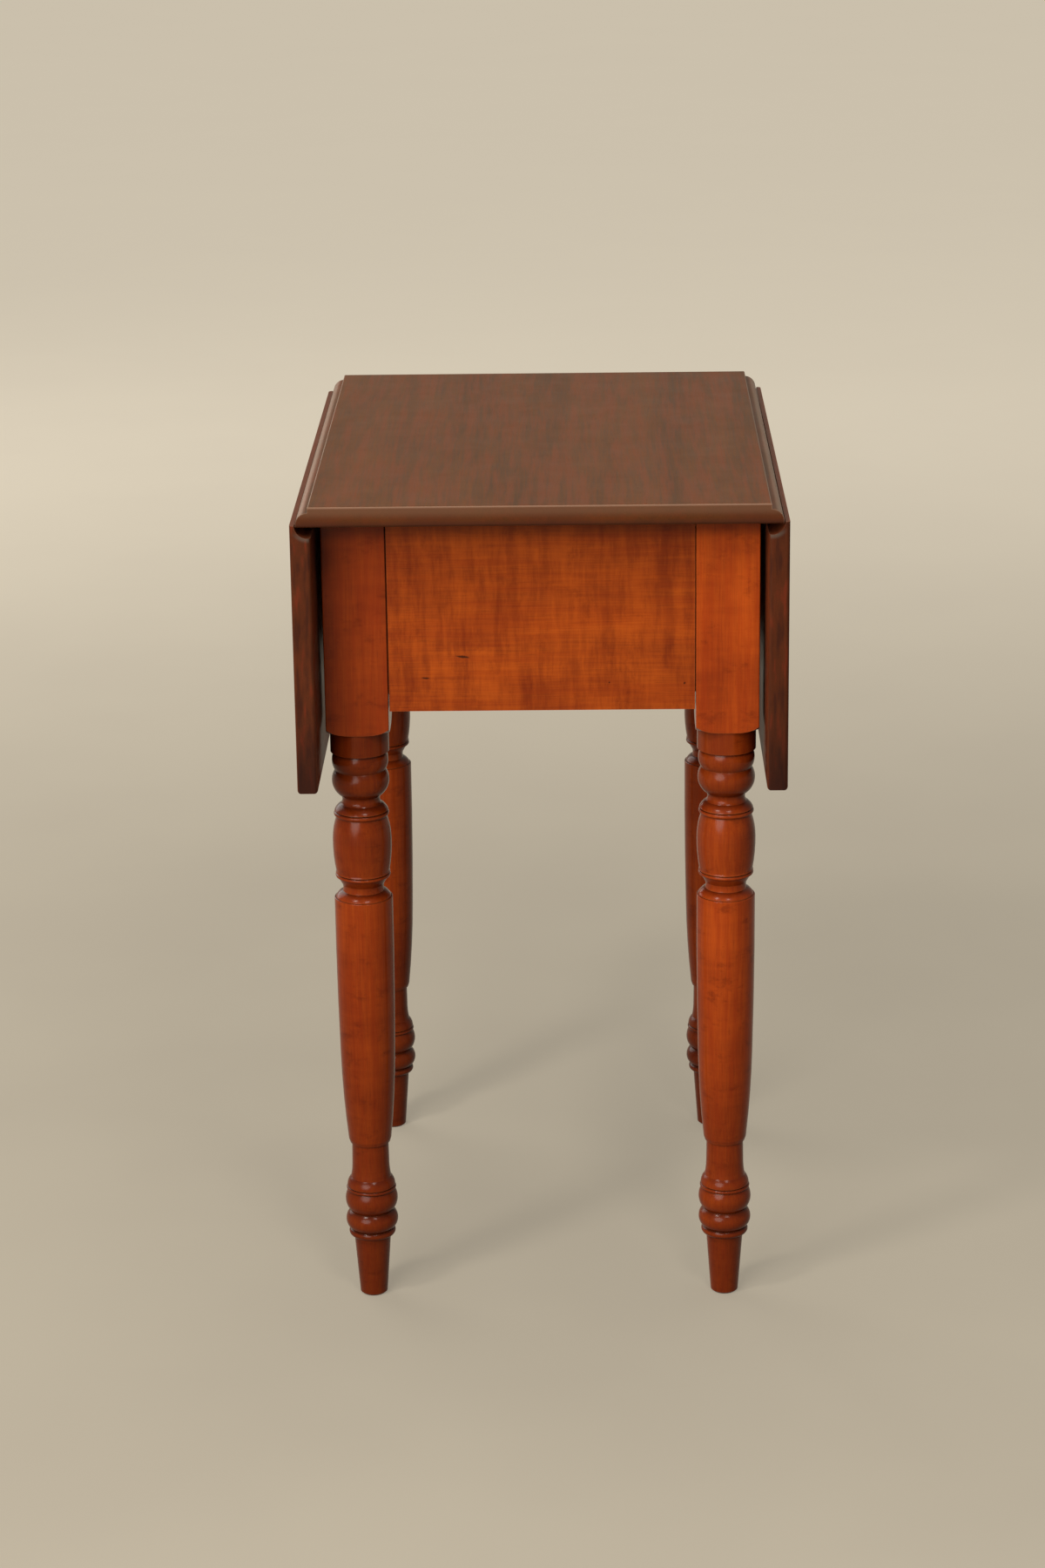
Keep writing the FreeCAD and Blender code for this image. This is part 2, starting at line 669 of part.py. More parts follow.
tenon_z = (apron_low + dim.tenon_shoulder, underside - dim.tenon_shoulder)
tenon_end = leg_inner + dim.tenon_length
rail_tenon_end = leg_back + dim.tenon_length
apron_y = (leg_end - dim.apron_setback - dim.apron_thick, leg_end - dim.apron_setback)
apron_tenon_y = around((apron_y[0] + apron_y[1]) / 2, dim.tenon_thick)
rail_tenon_x = around((rail_inner + rail_outer) / 2, dim.tenon_thick)
drawer_rail_y = (leg_back, apron_y[1])
upper_rail_z = (underside - dim.drawer_rail_thick, underside)
lower_rail_z = (apron_low, apron_low + dim.drawer_rail_thick)
drawer_tenon_end = leg_inner + dim.rail_tenon_length
drawer_tenon_y = around((drawer_rail_y[0] + drawer_rail_y[1]) / 2, dim.tenon_thick)


def mortise(name, sign_x, sign_y, x, y, z):
    """The hole for a tenon in one leg, in that leg's own place, a little larger than the tenon."""
    room = dim.mortise_gap
    wide_x = span(sign_x, x[0] - leg_x - room, x[1] - leg_x + room)
    wide_y = span(sign_y, y[0] - leg_y - room, y[1] - leg_y + room)
    return block(name, wide_x, wide_y, (z[0] - room, z[1] + room))


for end, sign_y in (("front", -1), ("back", 1)):
    for side, sign_x in (("left", -1), ("right", 1)):
        name = f"{end}_{side}_leg"
        rail_y = (leg_back, rail_tenon_end)
        holes = [mortise(f"{name}_rail_mortise", sign_x, sign_y, rail_tenon_x, rail_y, tenon_z)]
        if end == "front":
            apron_x = (leg_inner, tenon_end)
            holes.append(mortise(f"{name}_apron_mortise", sign_x, sign_y, apron_x, apron_tenon_y, tenon_z))
        else:
            rail_x = (leg_inner, drawer_tenon_end)
            for level, z in (("upper", upper_rail_z), ("lower", lower_rail_z)):
                tenon_z_here = around((z[0] + z[1]) / 2, dim.tenon_thick)
                spot = (rail_x, drawer_tenon_y, tenon_z_here)
                holes.append(mortise(f"{name}_{level}_mortise", sign_x, sign_y, *spot))
        leg = cut(name, leg_blank, holes)
        nodes.append(place(leg, leg_x * sign_x, leg_y * sign_y))

# End apron: one deep board between the front legs, with a tenon at each end

apron_face = leg_inner - dim.shoulder_gap
front_y = span(-1, *apron_y)
nodes.append(fuse("end_apron", [
    block("apron_board", (-apron_face, apron_face), front_y, (apron_low, underside)),
    block("apron_tenons", (-tenon_end, tenon_end), span(-1, *apron_tenon_y), tenon_z),
]))

# Side rails and fly rails, drawn on the right and turned about the middle for the left.
# The fly rail is fixed to the side rail; its bracket swings on a pin through three wooden knuckles

fly_outer = rail_outer + dim.rail_thick
fly_top = underside - dim.fly_top_gap
fly_low = fly_top - dim.fly_height
fly_x = (rail_outer, fly_outer)
swing_x = (rail_outer + dim.fly_gap, fly_outer)
pivot = ((rail_outer + fly_outer) / 2, dim.fly_pivot)
knuckle_radius = dim.rail_thick / 2 - dim.fly_gap
knuckle_room = dim.rail_thick / 2 + dim.fly_gap
tip = dim.fly_end_length + dim.fly_tip_gap - leg_back
middle_band = around((fly_top + fly_low) / 2, dim.knuckle_height)
lower_band = (fly_low, middle_band[0] - dim.fly_gap)
upper_band = (middle_band[1] + dim.fly_gap, fly_top)
pin_hole_radius = dim.fly_pin_radius + dim.pin_gap
pin_hole_z = (fly_low - dim.fly_height, fly_top + dim.fly_height)
fly_pin_hole = rod("fly_pin_hole", "z", pin_hole_radius, pivot, pin_hole_z)
side_rail = fuse("side_rail_solid", [
    block("side_rail_board", (rail_inner, rail_outer), (-leg_back, leg_back), (apron_low, underside)),
    block("side_rail_tenons", rail_tenon_x, (-rail_tenon_end, rail_tenon_end), tenon_z),
])
fly_screws = []
fly_holes = []
fixed_ends = (leg_back - dim.fly_screw_inset, dim.fly_pivot + dim.rail_thick + dim.fly_screw_inset,
              dim.fly_screw_inset - leg_back)
for number, y in enumerate(fixed_ends, start=1):
    spot = ("x", rail_inner, (y, (fly_top + fly_low) / 2), dim.long_screw_length)
    fly_screws.append(screw(f"fly_screw_{number}", *spot))
    fly_holes.append(screw(f"fly_screw_hole_{number}", *spot, dim.screw_gap))
fixed_solids = [block("fly_rail_board", fly_x, (dim.fly_pivot + knuckle_room, leg_back), (fly_low, fly_top))]
for number, band in enumerate((lower_band, upper_band), start=1):
    neck_y = (dim.fly_pivot, dim.fly_pivot + knuckle_room)
    fixed_solids.append(block(f"fly_rail_neck_{number}", swing_x, neck_y, band))
    fixed_solids.append(rod(f"fly_rail_knuckle_{number}", "z", knuckle_radius, pivot, band))
fly_rail = fuse("fly_rail_solid", fixed_solids)
fly_end = block("fly_end_solid", fly_x, (-leg_back, tip - dim.fly_tip_gap), (fly_low, fly_top))
bracket = fuse("fly_bracket_solid", [
    block("bracket_board", swing_x, (tip, dim.fly_pivot - knuckle_room), (fly_low, fly_top)),
    block("bracket_neck", swing_x, (dim.fly_pivot - knuckle_room, dim.fly_pivot), middle_band),
    rod("bracket_knuckle", "z", knuckle_radius, pivot, middle_band),
])
for side, turn in (("right", 0), ("left", 180)):
    nodes.append(place(cut(f"{side}_side_rail", side_rail, fly_holes), turn=turn))
    nodes.append(place(cut(f"{side}_fly_rail", fly_rail, [fly_pin_hole, *fly_holes]), turn=turn))
    nodes.append(place(cut(f"{side}_fly_end", fly_end, fly_holes), turn=turn))
    nodes.append(place(cut(f"{side}_fly_bracket", bracket, [fly_pin_hole]), turn=turn))
    pin = rod(f"{side}_fly_pin_rod", "z", dim.fly_pin_radius, pivot, (fly_low, fly_top))
    nodes.append(place(group(f"{side}_fly_pin", [pin]), turn=turn))
left_fly_screws = place(group("left_fly_screws", fly_screws), turn=180)
nodes.append(group("fly_rail_screws", [*fly_screws, left_fly_screws]))

# Drawer end: two rails between the back legs, and the runners, guides and kickers along both sides

for name, z in (("upper_drawer_rail", upper_rail_z), ("lower_drawer_rail", lower_rail_z)):
    tenon_here = around((z[0] + z[1]) / 2, dim.tenon_thick)
    nodes.append(fuse(name, [
        block(f"{name}_board", (-leg_inner, leg_inner), drawer_rail_y, z),
        block(f"{name}_tenons", (-drawer_tenon_end, drawer_tenon_end), drawer_tenon_y, tenon_here),
    ]))
runner_inner = rail_inner - dim.runner_width
drawer_half = leg_inner - dim.drawer_gap
runner_y = (-leg_back, drawer_rail_y[0])
guide_z = (lower_rail_z[1], lower_rail_z[1] + dim.guide_height)
top_screw_y = leg_back - dim.top_screw_inset
kicker_holes = []
top_screws = []
for side, sign in (("left", -1), ("right", 1)):
    runner_x = span(sign, runner_inner, rail_inner)
    guide_x = span(sign, drawer_half + dim.guide_gap, rail_inner)
    guide_y = (-leg_back, leg_back)
    nodes.append(block(f"{side}_drawer_runner", runner_x, runner_y, lower_rail_z))
    nodes.append(block(f"{side}_drawer_guide", guide_x, guide_y, guide_z))
    side_holes = []
    for end, along in (("front", -1), ("back", 1)):
        middle = (runner_inner + rail_inner) / 2 * sign
        spot = ("z", upper_rail_z[0], (middle, top_screw_y * along), dim.long_screw_length)
        top_screws.append(screw(f"top_screw_{side}_{end}", *spot))
        side_holes.append(screw(f"top_screw_hole_{side}_{end}", *spot, dim.screw_gap))
    kicker = block(f"{side}_kicker_board", runner_x, runner_y, upper_rail_z)
    nodes.append(cut(f"{side}_kicker", kicker, side_holes))
    kicker_holes.extend(side_holes)
nodes.append(group("top_screws", top_screws))
nodes.append(cut("top_board", top_blank, [*top_gains, *kicker_holes]))

# Drawer: the sides are lapped into the front, the back stands on the bottom, which slides in grooves

front_z = (lower_rail_z[1] + dim.drawer_gap, upper_rail_z[0] - dim.drawer_gap)
front_face = apron_y[1]
front_back = front_face - dim.drawer_front_thick
side_z = (lower_rail_z[1] + dim.runner_gap, front_z[1] - dim.drawer_side_drop)
drawer_end = dim.drawer_back_room - apron_y[0]
lap_y = front_back + dim.drawer_lap
bottom_low = front_z[0] + dim.drawer_bottom_lift
bottom_z = (bottom_low, bottom_low + dim.drawer_bottom_thick)
inside = drawer_half - dim.drawer_side_thick
bottom_half = inside + dim.groove_depth
bottom_front = front_back + dim.groove_depth
knob_x = drawer_half - dim.knob_inset
knob_z = (front_z[0] + front_z[1]) / 2
room = dim.mortise_gap
groove_x = (-bottom_half - room, bottom_half + room)
groove_y = (drawer_end - room, bottom_front + room)
groove_z = (bottom_z[0] - room / 2, bottom_z[1] + room / 2)
bottom_groove = block("drawer_groove", groove_x, groove_y, groove_z)
laps = []
knob_holes = []
for side, sign in (("left", -1), ("right", 1)):
    lap_x = span(sign, inside - room, drawer_half + dim.drawer_gap)
    lap_z = (front_z[0] - room, side_z[1] + room)
    laps.append(block(f"drawer_lap_{side}", lap_x, (front_back - room, lap_y), lap_z))
    knob_spot = (knob_x * sign, knob_z)
    knob_holes.append(rod(f"knob_hole_{side}", "y", dim.knob_dowel + dim.screw_gap, knob_spot,
                          (front_back - room, front_face + room)))
    board = block(f"drawer_side_{side}", span(sign, inside, drawer_half), (drawer_end, lap_y - room), side_z)
    nodes.append(cut(f"{side}_drawer_side", board, [bottom_groove]))
front_board = block("drawer_front_board", (-drawer_half, drawer_half), (front_back, front_face), front_z)
nodes.append(cut("drawer_front", front_board, [bottom_groove, *laps, *knob_holes]))
nodes.append(block("drawer_bottom", (-bottom_half, bottom_half), (drawer_end, bottom_front), bottom_z))
back_y = (drawer_end, drawer_end + dim.drawer_back_thick)
nodes.append(block("drawer_back", (-inside, inside), back_y, (bottom_z[1], side_z[1])))

# Drawer knobs: turned with a dowel that goes through the drawer front

neck_height = dim.knob_foot_length + dim.drawer_front_thick
knob_top = dim.drawer_front_thick + dim.knob_length
knob_outline = [
    (0, knob_top), (dim.knob_flat, knob_top), Bulge(dim.knob_bulge),
    (dim.knob_neck, neck_height), (dim.knob_foot, dim.drawer_front_thick),
    (dim.knob_dowel, dim.drawer_front_thick), (dim.knob_dowel, 0), (0, 0),
]
knob_turning = turned("knob_turning", knob_outline)
for side, sign in (("left", -1), ("right", 1)):
    knob = group(f"{side}_drawer_knob", [knob_turning])
    place(knob, knob_x * sign, front_back, knob_z)
    knob.Placement = FreeCAD.Placement(knob.Placement.Base, ALONG["y"])
    nodes.append(knob)

# Drawer stops on the lower rail, and glue blocks behind the end apron

stops = []
blocks = []
glue_z = (underside - dim.glue_block, underside)
glue_y = (front_y[1], front_y[1] + dim.glue_block)
for side, sign in (("left", -1), ("right", 1)):
    stop_x = around((inside - dim.stop_inset) * sign, dim.stop_width)
    stop_y = (front_back - dim.stop_gap - dim.stop_depth, front_back - dim.stop_gap)
    stop_z = (lower_rail_z[1], lower_rail_z[1] + dim.stop_thick)
    stops.append(block(f"drawer_stop_{side}", stop_x, stop_y, stop_z))
    glue_x = around((apron_face - dim.glue_block_inset) * sign, dim.glue_block_length)
    blocks.append(block(f"glue_block_{side}", glue_x, glue_y, glue_z))
nodes.append(group("drawer_stops", stops))
nodes.append(group("glue_blocks", blocks))

# Every piece is tested, then written to its own file

doc.recompute()
for thing in doc.Objects:
    if "Invalid" in thing.State or "Error" in thing.State:
        raise RuntimeError(f"{thing.Label} is {thing.State}")
os.makedirs("parts", exist_ok=True)
for node in nodes:
    if node.Shape.isNull() or not node.Shape.isValid():
        raise RuntimeError(f"{node.Label} has no valid shape")
    node.Shape.exportStep(f"parts/{node.Label}.step")
    print(node.Label, len(node.Shape.Solids), round(node.Shape.Volume / 1000, 2), "cm3")
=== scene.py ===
import math

import bmesh
import bpy
from mathutils import Matrix, Vector


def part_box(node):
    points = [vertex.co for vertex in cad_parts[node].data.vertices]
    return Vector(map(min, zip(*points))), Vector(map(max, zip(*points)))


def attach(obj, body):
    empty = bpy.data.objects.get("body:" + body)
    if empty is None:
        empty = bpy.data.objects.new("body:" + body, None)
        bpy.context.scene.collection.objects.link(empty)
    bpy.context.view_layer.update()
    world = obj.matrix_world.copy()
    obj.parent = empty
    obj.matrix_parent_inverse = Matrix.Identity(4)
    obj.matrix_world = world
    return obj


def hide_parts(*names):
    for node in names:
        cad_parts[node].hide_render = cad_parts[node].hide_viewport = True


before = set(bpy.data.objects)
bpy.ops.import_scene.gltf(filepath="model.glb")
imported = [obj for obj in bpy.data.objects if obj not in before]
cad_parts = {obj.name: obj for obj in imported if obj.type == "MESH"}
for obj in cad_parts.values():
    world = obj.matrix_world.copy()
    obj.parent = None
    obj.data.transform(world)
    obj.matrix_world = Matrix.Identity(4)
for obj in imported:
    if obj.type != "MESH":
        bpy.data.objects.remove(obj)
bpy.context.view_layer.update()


# Legs: four posts of curly hardwood, left square above and turned below on a lathe, then stained red-brown.
# The gloss varnish lies dark in the grooves, where painted shade darkens them further. The legs are darker
# on the necks and towards the feet, and the arrises are rubbed thin and carry a painted highlight.
# Each post is given a tone of its own, and the block of one is lighter and more golden towards its top.

# How nodes are wired, for every finish of the table

class Wiring:
    """Adds nodes to one tree; a socket takes a number, a colour or the output that feeds it."""

    MIX_FACTOR = 0
    MIX_FIRST = 6
    MIX_SECOND = 7
    MIX_RESULT = 2
    MIDDLE_GREY = (0.5, 0.5, 0.5)

    def __init__(self, tree):
        self.tree = tree

    def feed(self, socket, value):
        """Links an output to a socket, or sets the socket's own value."""
        if isinstance(value, bpy.types.NodeSocket):
            self.tree.links.new(value, socket)
        else:
            socket.default_value = value

    def add(self, kind, sockets=None, **settings):
        """A new node with its settings, and then what its sockets take, by name or by number."""
        made = self.tree.nodes.new(kind)
        for name, value in settings.items():
            setattr(made, name, value)
        for key, value in (sockets or {}).items():
            self.feed(made.inputs[key], value)
        return made

    def math(self, operation, first, second=0.0):
        return self.add("ShaderNodeMath", {0: first, 1: second}, operation=operation).outputs[0]

    def times(self, first, *others):
        """The product of masks and shares."""
        for other in others:
            first = self.math("MULTIPLY", first, other)
        return first

    def weigh(self, first, *others):
        """The sum of masks, each times its share."""
        total = self.times(*first)
        for other in others:
            total = self.math("ADD", total, self.times(*other))
        return total

    def vector(self, operation, first, second):
        return self.add("ShaderNodeVectorMath", {0: first, 1: second}, operation=operation).outputs[0]

    def length(self, vector):
        return self.add("ShaderNodeVectorMath", {0: vector}, operation="LENGTH").outputs["Value"]

    def part(self, vector, axis):
        return self.add("ShaderNodeSeparateXYZ", {0: vector}).outputs[axis]

    def turned(self, vector, turn):
        """A place or a direction, turned so that the grain lies along Z."""
        sockets = {"Vector": vector, "Rotation": turn}
        return self.add("ShaderNodeMapping", sockets, vector_type="VECTOR").outputs[0]

    def swayed(self, vector, drift, reach):
        """A place, pushed to and fro by a drifting colour as far as the reach."""
        centred = self.vector("SUBTRACT", drift, self.MIDDLE_GREY)
        return self.vector("ADD", vector, self.vector("MULTIPLY", centred, reach))

    def remap(self, value, low, high, to_low=0.0, to_high=1.0):
        sockets = {"Value": value, "From Min": low, "From Max": high, "To Min": to_low, "To Max": to_high}
        return self.add("ShaderNodeMapRange", sockets, interpolation_type="SMOOTHSTEP").outputs["Result"]

    def blend(self, factor, first, second, way="MIX"):
        """Two colours mixed; a Mix node repeats its socket names, so its colour sockets go by number."""
        sockets = {self.MIX_FACTOR: factor, self.MIX_FIRST: first, self.MIX_SECOND: second}
        made = self.add("ShaderNodeMix", sockets, data_type="RGBA", blend_type=way)
        return made.outputs[self.MIX_RESULT]

    def noise(self, vector, scale, seed=0.0, detail=2.0, roughness=0.5, output="Fac"):
        sockets = {"Vector": vector, "W": seed, "Scale": scale, "Detail": detail, "Roughness": roughness}
        return self.add("ShaderNodeTexNoise", sockets, noise_dimensions="4D").outputs[output]

    def group(self, tree, sockets):
        return self.add("ShaderNodeGroup", sockets, node_tree=tree).outputs


# Marks of wood, and masks for old varnish, wear, painted shade and painted highlights,
# each a node group that several finishes share

def shader_group(name, inputs, outputs):
    """A node group: its wiring, the outputs of its input node and the inputs of its output node."""
    tree = bpy.data.node_groups.new(name, "ShaderNodeTree")
    for label, kind in inputs.items():
        tree.interface.new_socket(label, in_out="INPUT", socket_type=kind)
    for label in outputs:
        tree.interface.new_socket(label, in_out="OUTPUT", socket_type="NodeSocketFloat")
    wiring = Wiring(tree)
    return wiring, wiring.add("NodeGroupInput").outputs, wiring.add("NodeGroupOutput").inputs


def put_out(wiring, result, spans):
    """Feeds the outputs of a group, each with a value that rises from 0 to 1 over its span."""
    for mark, (value, low, high) in spans.items():
        wiring.feed(result[mark], wiring.remap(value, low, high))


def wood_grain_group():
    """Bands, growth lines, streaks, fibres and pores of a board, with the grain along Z of the vector."""
    inputs = {"Vector": "NodeSocketVector", "Band Width": "NodeSocketFloat", "Seed": "NodeSocketFloat"}
    outputs = ("Bands", "Lines", "Streaks", "Fibres", "Pores")
    wiring, given, result = shader_group("wood_grain", inputs, outputs)
    seed = given["Seed"]
    drift_scale = 7.0
    fibre_scale = 850.0
    pore_scale = 1300.0
    streaks_per_band = 5.0
    line_pace = 110.0
    sway_reach = (0.014, 0.014, 0.0)
    # Along the grain each mark is drawn out: it changes more slowly there than across.
    drift_shape = (1.0, 1.0, 0.35)
    band_shape = (1.0, 1.0, 0.06)
    fibre_shape = (1.0, 1.0, 0.022)
    pore_shape = (1.0, 1.0, 0.045)
    slow = wiring.vector("MULTIPLY", given["Vector"], drift_shape)
    drift = wiring.noise(slow, drift_scale, seed, output="Color")
    grain = wiring.swayed(given["Vector"], drift, sway_reach)
    long_bands = wiring.vector("MULTIPLY", grain, band_shape)
    band_scale = wiring.math("DIVIDE", 1.0, given["Band Width"])
    bands = wiring.noise(long_bands, band_scale, seed)
    lines = wiring.math("SINE", wiring.times(bands, line_pace))
    streak_scale = wiring.math("DIVIDE", streaks_per_band, given["Band Width"])
    streaks = wiring.noise(long_bands, streak_scale, seed, detail=3.0, roughness=0.6)
    long_fibres = wiring.vector("MULTIPLY", grain, fibre_shape)
    fibres = wiring.noise(long_fibres, fibre_scale, seed, detail=3.0, roughness=0.65)
    long_pores = wiring.vector("MULTIPLY", grain, pore_shape)
    pores = wiring.noise(long_pores, pore_scale, seed, detail=1.0)
    put_out(wiring, result, {
        "Bands": (bands, 0.3, 0.7),
        "Lines": (lines, -1.0, 1.0),
        "Streaks": (streaks, 0.38, 0.66),
        "Fibres": (fibres, 0.3, 0.7),
        "Pores": (pores, 0.62, 0.74),
    })
    return wiring.tree


def curl_figure_group():
    """The curl of figured wood across its grain, the clouding of its stain and its small dark smudges."""
    inputs = {"Vector": "NodeSocketVector", "Curl Width": "NodeSocketFloat", "Seed": "NodeSocketFloat"}
    outputs = ("Curl", "Clouds", "Smudges")
    wiring, given, result = shader_group("curl_figure", inputs, outputs)
    seed = given["Seed"]
    drift_scale = 22.0
    cloud_scale = 15.0
    smudge_scale = 75.0
    sway_reach = (0.0, 0.0, 0.005)
    curl_shape = (0.12, 0.12, 1.0)
    smudge_shape = (0.6, 0.6, 1.0)
    drift = wiring.noise(given["Vector"], drift_scale, seed, output="Color")
    moved = wiring.swayed(given["Vector"], drift, sway_reach)
    wide_curl = wiring.vector("MULTIPLY", moved, curl_shape)
    curl_scale = wiring.math("DIVIDE", 1.0, given["Curl Width"])
    curl = wiring.noise(wide_curl, curl_scale, seed, detail=4.0, roughness=0.7)
    clouds = wiring.noise(given["Vector"], cloud_scale, seed, detail=4.0, roughness=0.6)
    wide_smudges = wiring.vector("MULTIPLY", moved, smudge_shape)
    smudges = wiring.noise(wide_smudges, smudge_scale, seed, detail=5.0, roughness=0.7)
    put_out(wiring, result, {
        "Curl": (curl, 0.34, 0.66),
        "Clouds": (clouds, 0.32, 0.68),
        "Smudges": (smudges, 0.52, 0.70),
    })
    return wiring.tree


def hollows_and_arrises_group():
    """Masks of hollows, for old varnish and painted shade, and of arrises, for wear and painted highlights.
    """
    inputs = {"Reach": "NodeSocketFloat", "Arris": "NodeSocketFloat"}
    outputs = ("Groove", "Arris Mask")
    wiring, given, result = shader_group("hollows_and_arrises", inputs, outputs)
    groove_openness = (0.35, 0.96)
    arris_sameness = (0.985, 0.86)
    reach = {"Distance": given["Reach"]}
    hollow = wiring.add("ShaderNodeAmbientOcclusion", reach, samples=8, only_local=True)
    rounded = wiring.add("ShaderNodeBevel", {"Radius": given["Arris"]}, samples=4)
    flat = wiring.add("ShaderNodeNewGeometry").outputs["Normal"]
    both = {0: rounded.outputs[0], 1: flat}
    sameness = wiring.add("ShaderNodeVectorMath", both, operation="DOT_PRODUCT").outputs["Value"]
    wiring.feed(result["Groove"], wiring.remap(hollow.outputs["AO"], *groove_openness, 1.0, 0.0))
    wiring.feed(result["Arris Mask"], wiring.remap(sameness, *arris_sameness))
    return wiring.tree


wood_grain = wood_grain_group()
curl_figure = curl_figure_group()
hollows_and_arrises = hollows_and_arrises_group()


# A finish: the material of a piece, laid on in coats

class Paint:
    """A material with its wiring, its Principled shader, and the place and the normal on its piece."""

    def __init__(self, name):
        self.material = bpy.data.materials.new(name)
        self.material.use_nodes = True
        self.wiring = Wiring(self.material.node_tree)
        self.shader = self.material.node_tree.nodes["Principled BSDF"]
        shape = self.wiring.add("ShaderNodeTexCoord").outputs
        self.place = shape["Object"]
        self.normal = shape["Normal"]

    def height(self):
        return self.wiring.part(self.place, "Z")

    def feed(self, sockets):
        for name, value in sockets.items():
            self.wiring.feed(self.shader.inputs[name], value)

    def ground(self, tone, deep, pale):
        """Lays the first colour, which goes from deep to pale with the tone."""
        self.feed({"Base Color": self.wiring.blend(tone, (*deep, 1.0), (*pale, 1.0))})

    def stain(self, mask, stain, way="MIX"):
        """Lays a stain over the colour that is there, as strongly as the mask says."""
        under = self.shader.inputs["Base Color"].links[0].from_socket
        self.feed({"Base Color": self.wiring.blend(mask, under, (*stain, 1.0), way)})

    def relief(self, height, strength, depth):
        """Raises the surface by a height that runs from 0 to 1, at the most by the depth."""
        sockets = {"Strength": strength, "Distance": depth, "Height": height}
        self.feed({"Normal": self.wiring.add("ShaderNodeBump", sockets).outputs[0]})

    def cover(self, *nodes):
        """Puts the material on CAD nodes, on every slot that they have."""
        for node in nodes:
            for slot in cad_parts[node].material_slots:
                slot.material = self.material


def varnished_wood(name, colours, turn, shares, sheen, band_width, curl_width, seed):
    """Stained and varnished wood; the turn lays the grain, and the shares say how far each mark shows."""
    paint = Paint(name)
    wiring = paint.wiring
    arris_width = 0.0012
    end_slopes = (0.15, 0.95)
    soaking = (1.25, 0.65)
    sheen_slopes = (0.6, 1.0)
    brush_scale = 45.0
    relief_depth = 0.0006
    laid = wiring.turned(paint.place, turn)
    grain = wiring.group(wood_grain, {"Vector": laid, "Band Width": band_width, "Seed": seed})
    figure = wiring.group(curl_figure, {"Vector": laid, "Curl Width": curl_width, "Seed": seed})
    age = wiring.group(hollows_and_arrises, {"Reach": shares["reach"], "Arris": arris_width})
    tone = wiring.weigh(
        (grain["Bands"], shares["bands"]),
        (grain["Lines"], shares["lines"]),
        (grain["Fibres"], shares["fibres"]),
        (figure["Curl"], shares["curl"]),
        (figure["Clouds"], shares["clouds"]),
    )
    paint.ground(tone, colours["deep"], colours["pale"])
    paint.stain(wiring.times(grain["Streaks"], shares["flush"]), colours["flush"])
    paint.stain(wiring.times(figure["Smudges"], shares["smudges"]), colours["end_grain"])
    paint.stain(wiring.times(grain["Pores"], shares["pores"]), colours["groove"])
    # End grain soaks up more stain, and unevenly.
    across = wiring.math("ABSOLUTE", wiring.part(wiring.turned(paint.normal, turn), "Z"))
    end_share = wiring.remap(across, *end_slopes, 0.0, shares["end_grain"])
    soaked = wiring.remap(figure["Clouds"], 0.0, 1.0, *soaking)
    paint.stain(wiring.times(end_share, soaked), colours["end_grain"])
    # Old varnish lies dark in the hollows, and painted shade darkens grooves and corners in the same colour
    paint.stain(wiring.times(age["Groove"], shares["groove"]), colours["groove"])
    # Arrises are rubbed thin and carry a painted highlight, and faces that slope upward carry a painted
    # reflection, most of all at 45 degrees.
    upward = wiring.math("MAXIMUM", wiring.part(paint.normal, "Z"), 0.0)
    sideways = wiring.math("SQRT", wiring.math("SUBTRACT", 1.0, wiring.times(upward, upward)))
    tilted = wiring.remap(wiring.times(upward, sideways, 2.0), *sheen_slopes)
    arris_wear_and_highlight = wiring.times(age["Arris Mask"], shares["edge_tint"])
    edge_tint = wiring.math("MAXIMUM", arris_wear_and_highlight, wiring.times(tilted, shares["tilted"]))
    paint.stain(edge_tint, colours["edge_tint"])
    # Brush marks and fibres vary the gloss and the relief of the varnish.
    brushed = wiring.noise(laid, brush_scale, seed)
    dulled = wiring.weigh((brushed, 0.12), (grain["Fibres"], 0.05), (edge_tint, 0.1))
    roughness = wiring.math("ADD", dulled, sheen["roughness"])
    paint.feed({"Roughness": roughness, "Specular IOR Level": sheen["specular"]})
    raised = wiring.weigh((brushed, 0.6), (grain["Pores"], -0.25), (grain["Fibres"], 0.12))
    paint.relief(raised, sheen["relief"], relief_depth)
    return paint


# The four legs, with the heights between which a tone comes in or goes out, and how strong it is

GLOSS = {"roughness": 0.12, "specular": 0.11, "relief": 0.05}
RED_BROWN = {
    "deep": (0.150, 0.0170, 0.0028),
    "pale": (0.350, 0.0530, 0.0055),
    "flush": (0.225, 0.0220, 0.0030),
    "groove": (0.022, 0.004, 0.0015),
    "edge_tint": (0.360, 0.105, 0.030),
    "end_grain": (0.095, 0.0095, 0.0018),
}
LEG_SHARES = {
    "bands": 0.30, "lines": 0.04, "fibres": 0.26, "curl": 0.16, "clouds": 0.42,
    "flush": 0.45, "smudges": 0.50, "pores": 0.22, "end_grain": 0.85,
    "groove": 0.95, "reach": 0.020, "edge_tint": 0.30, "tilted": 0.0,
}
LEG_TONES = {"front_left_leg": 0.83, "front_right_leg": 1.02, "back_left_leg": 0.78, "back_right_leg": 0.84}
GRAIN_ALONG_X = (0.0, -math.pi / 2, 0.0)
GRAIN_ALONG_Y = (math.pi / 2, 0.0, 0.0)
GRAIN_ALONG_Z = (0.0, 0.0, 0.0)
FOOT_FADE = (0.0, 0.34)
FOOT_SHARE = 0.46
VASE_RISE = (0.365, 0.40)
BEAD_RISE = (0.44, 0.47)
NECK_SHARE = 0.22
BLOCK_START = (0.514, 0.520)
GOLDEN_LEG = "front_right_leg"
GOLDEN_RISE = (0.53, 0.69)
GOLDEN_SHARE = 0.82
GOLDEN_GAIN = (1.65, 1.85, 1.45)
top_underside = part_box("top_board")[0][2]
# Painted shadow: a darker band on the legs and the apron, just under the overhang of the top board
TOP_SHADOW_RISE = (top_underside - 0.026, top_underside - 0.013)
TOP_SHADOW_SHARE = 0.45
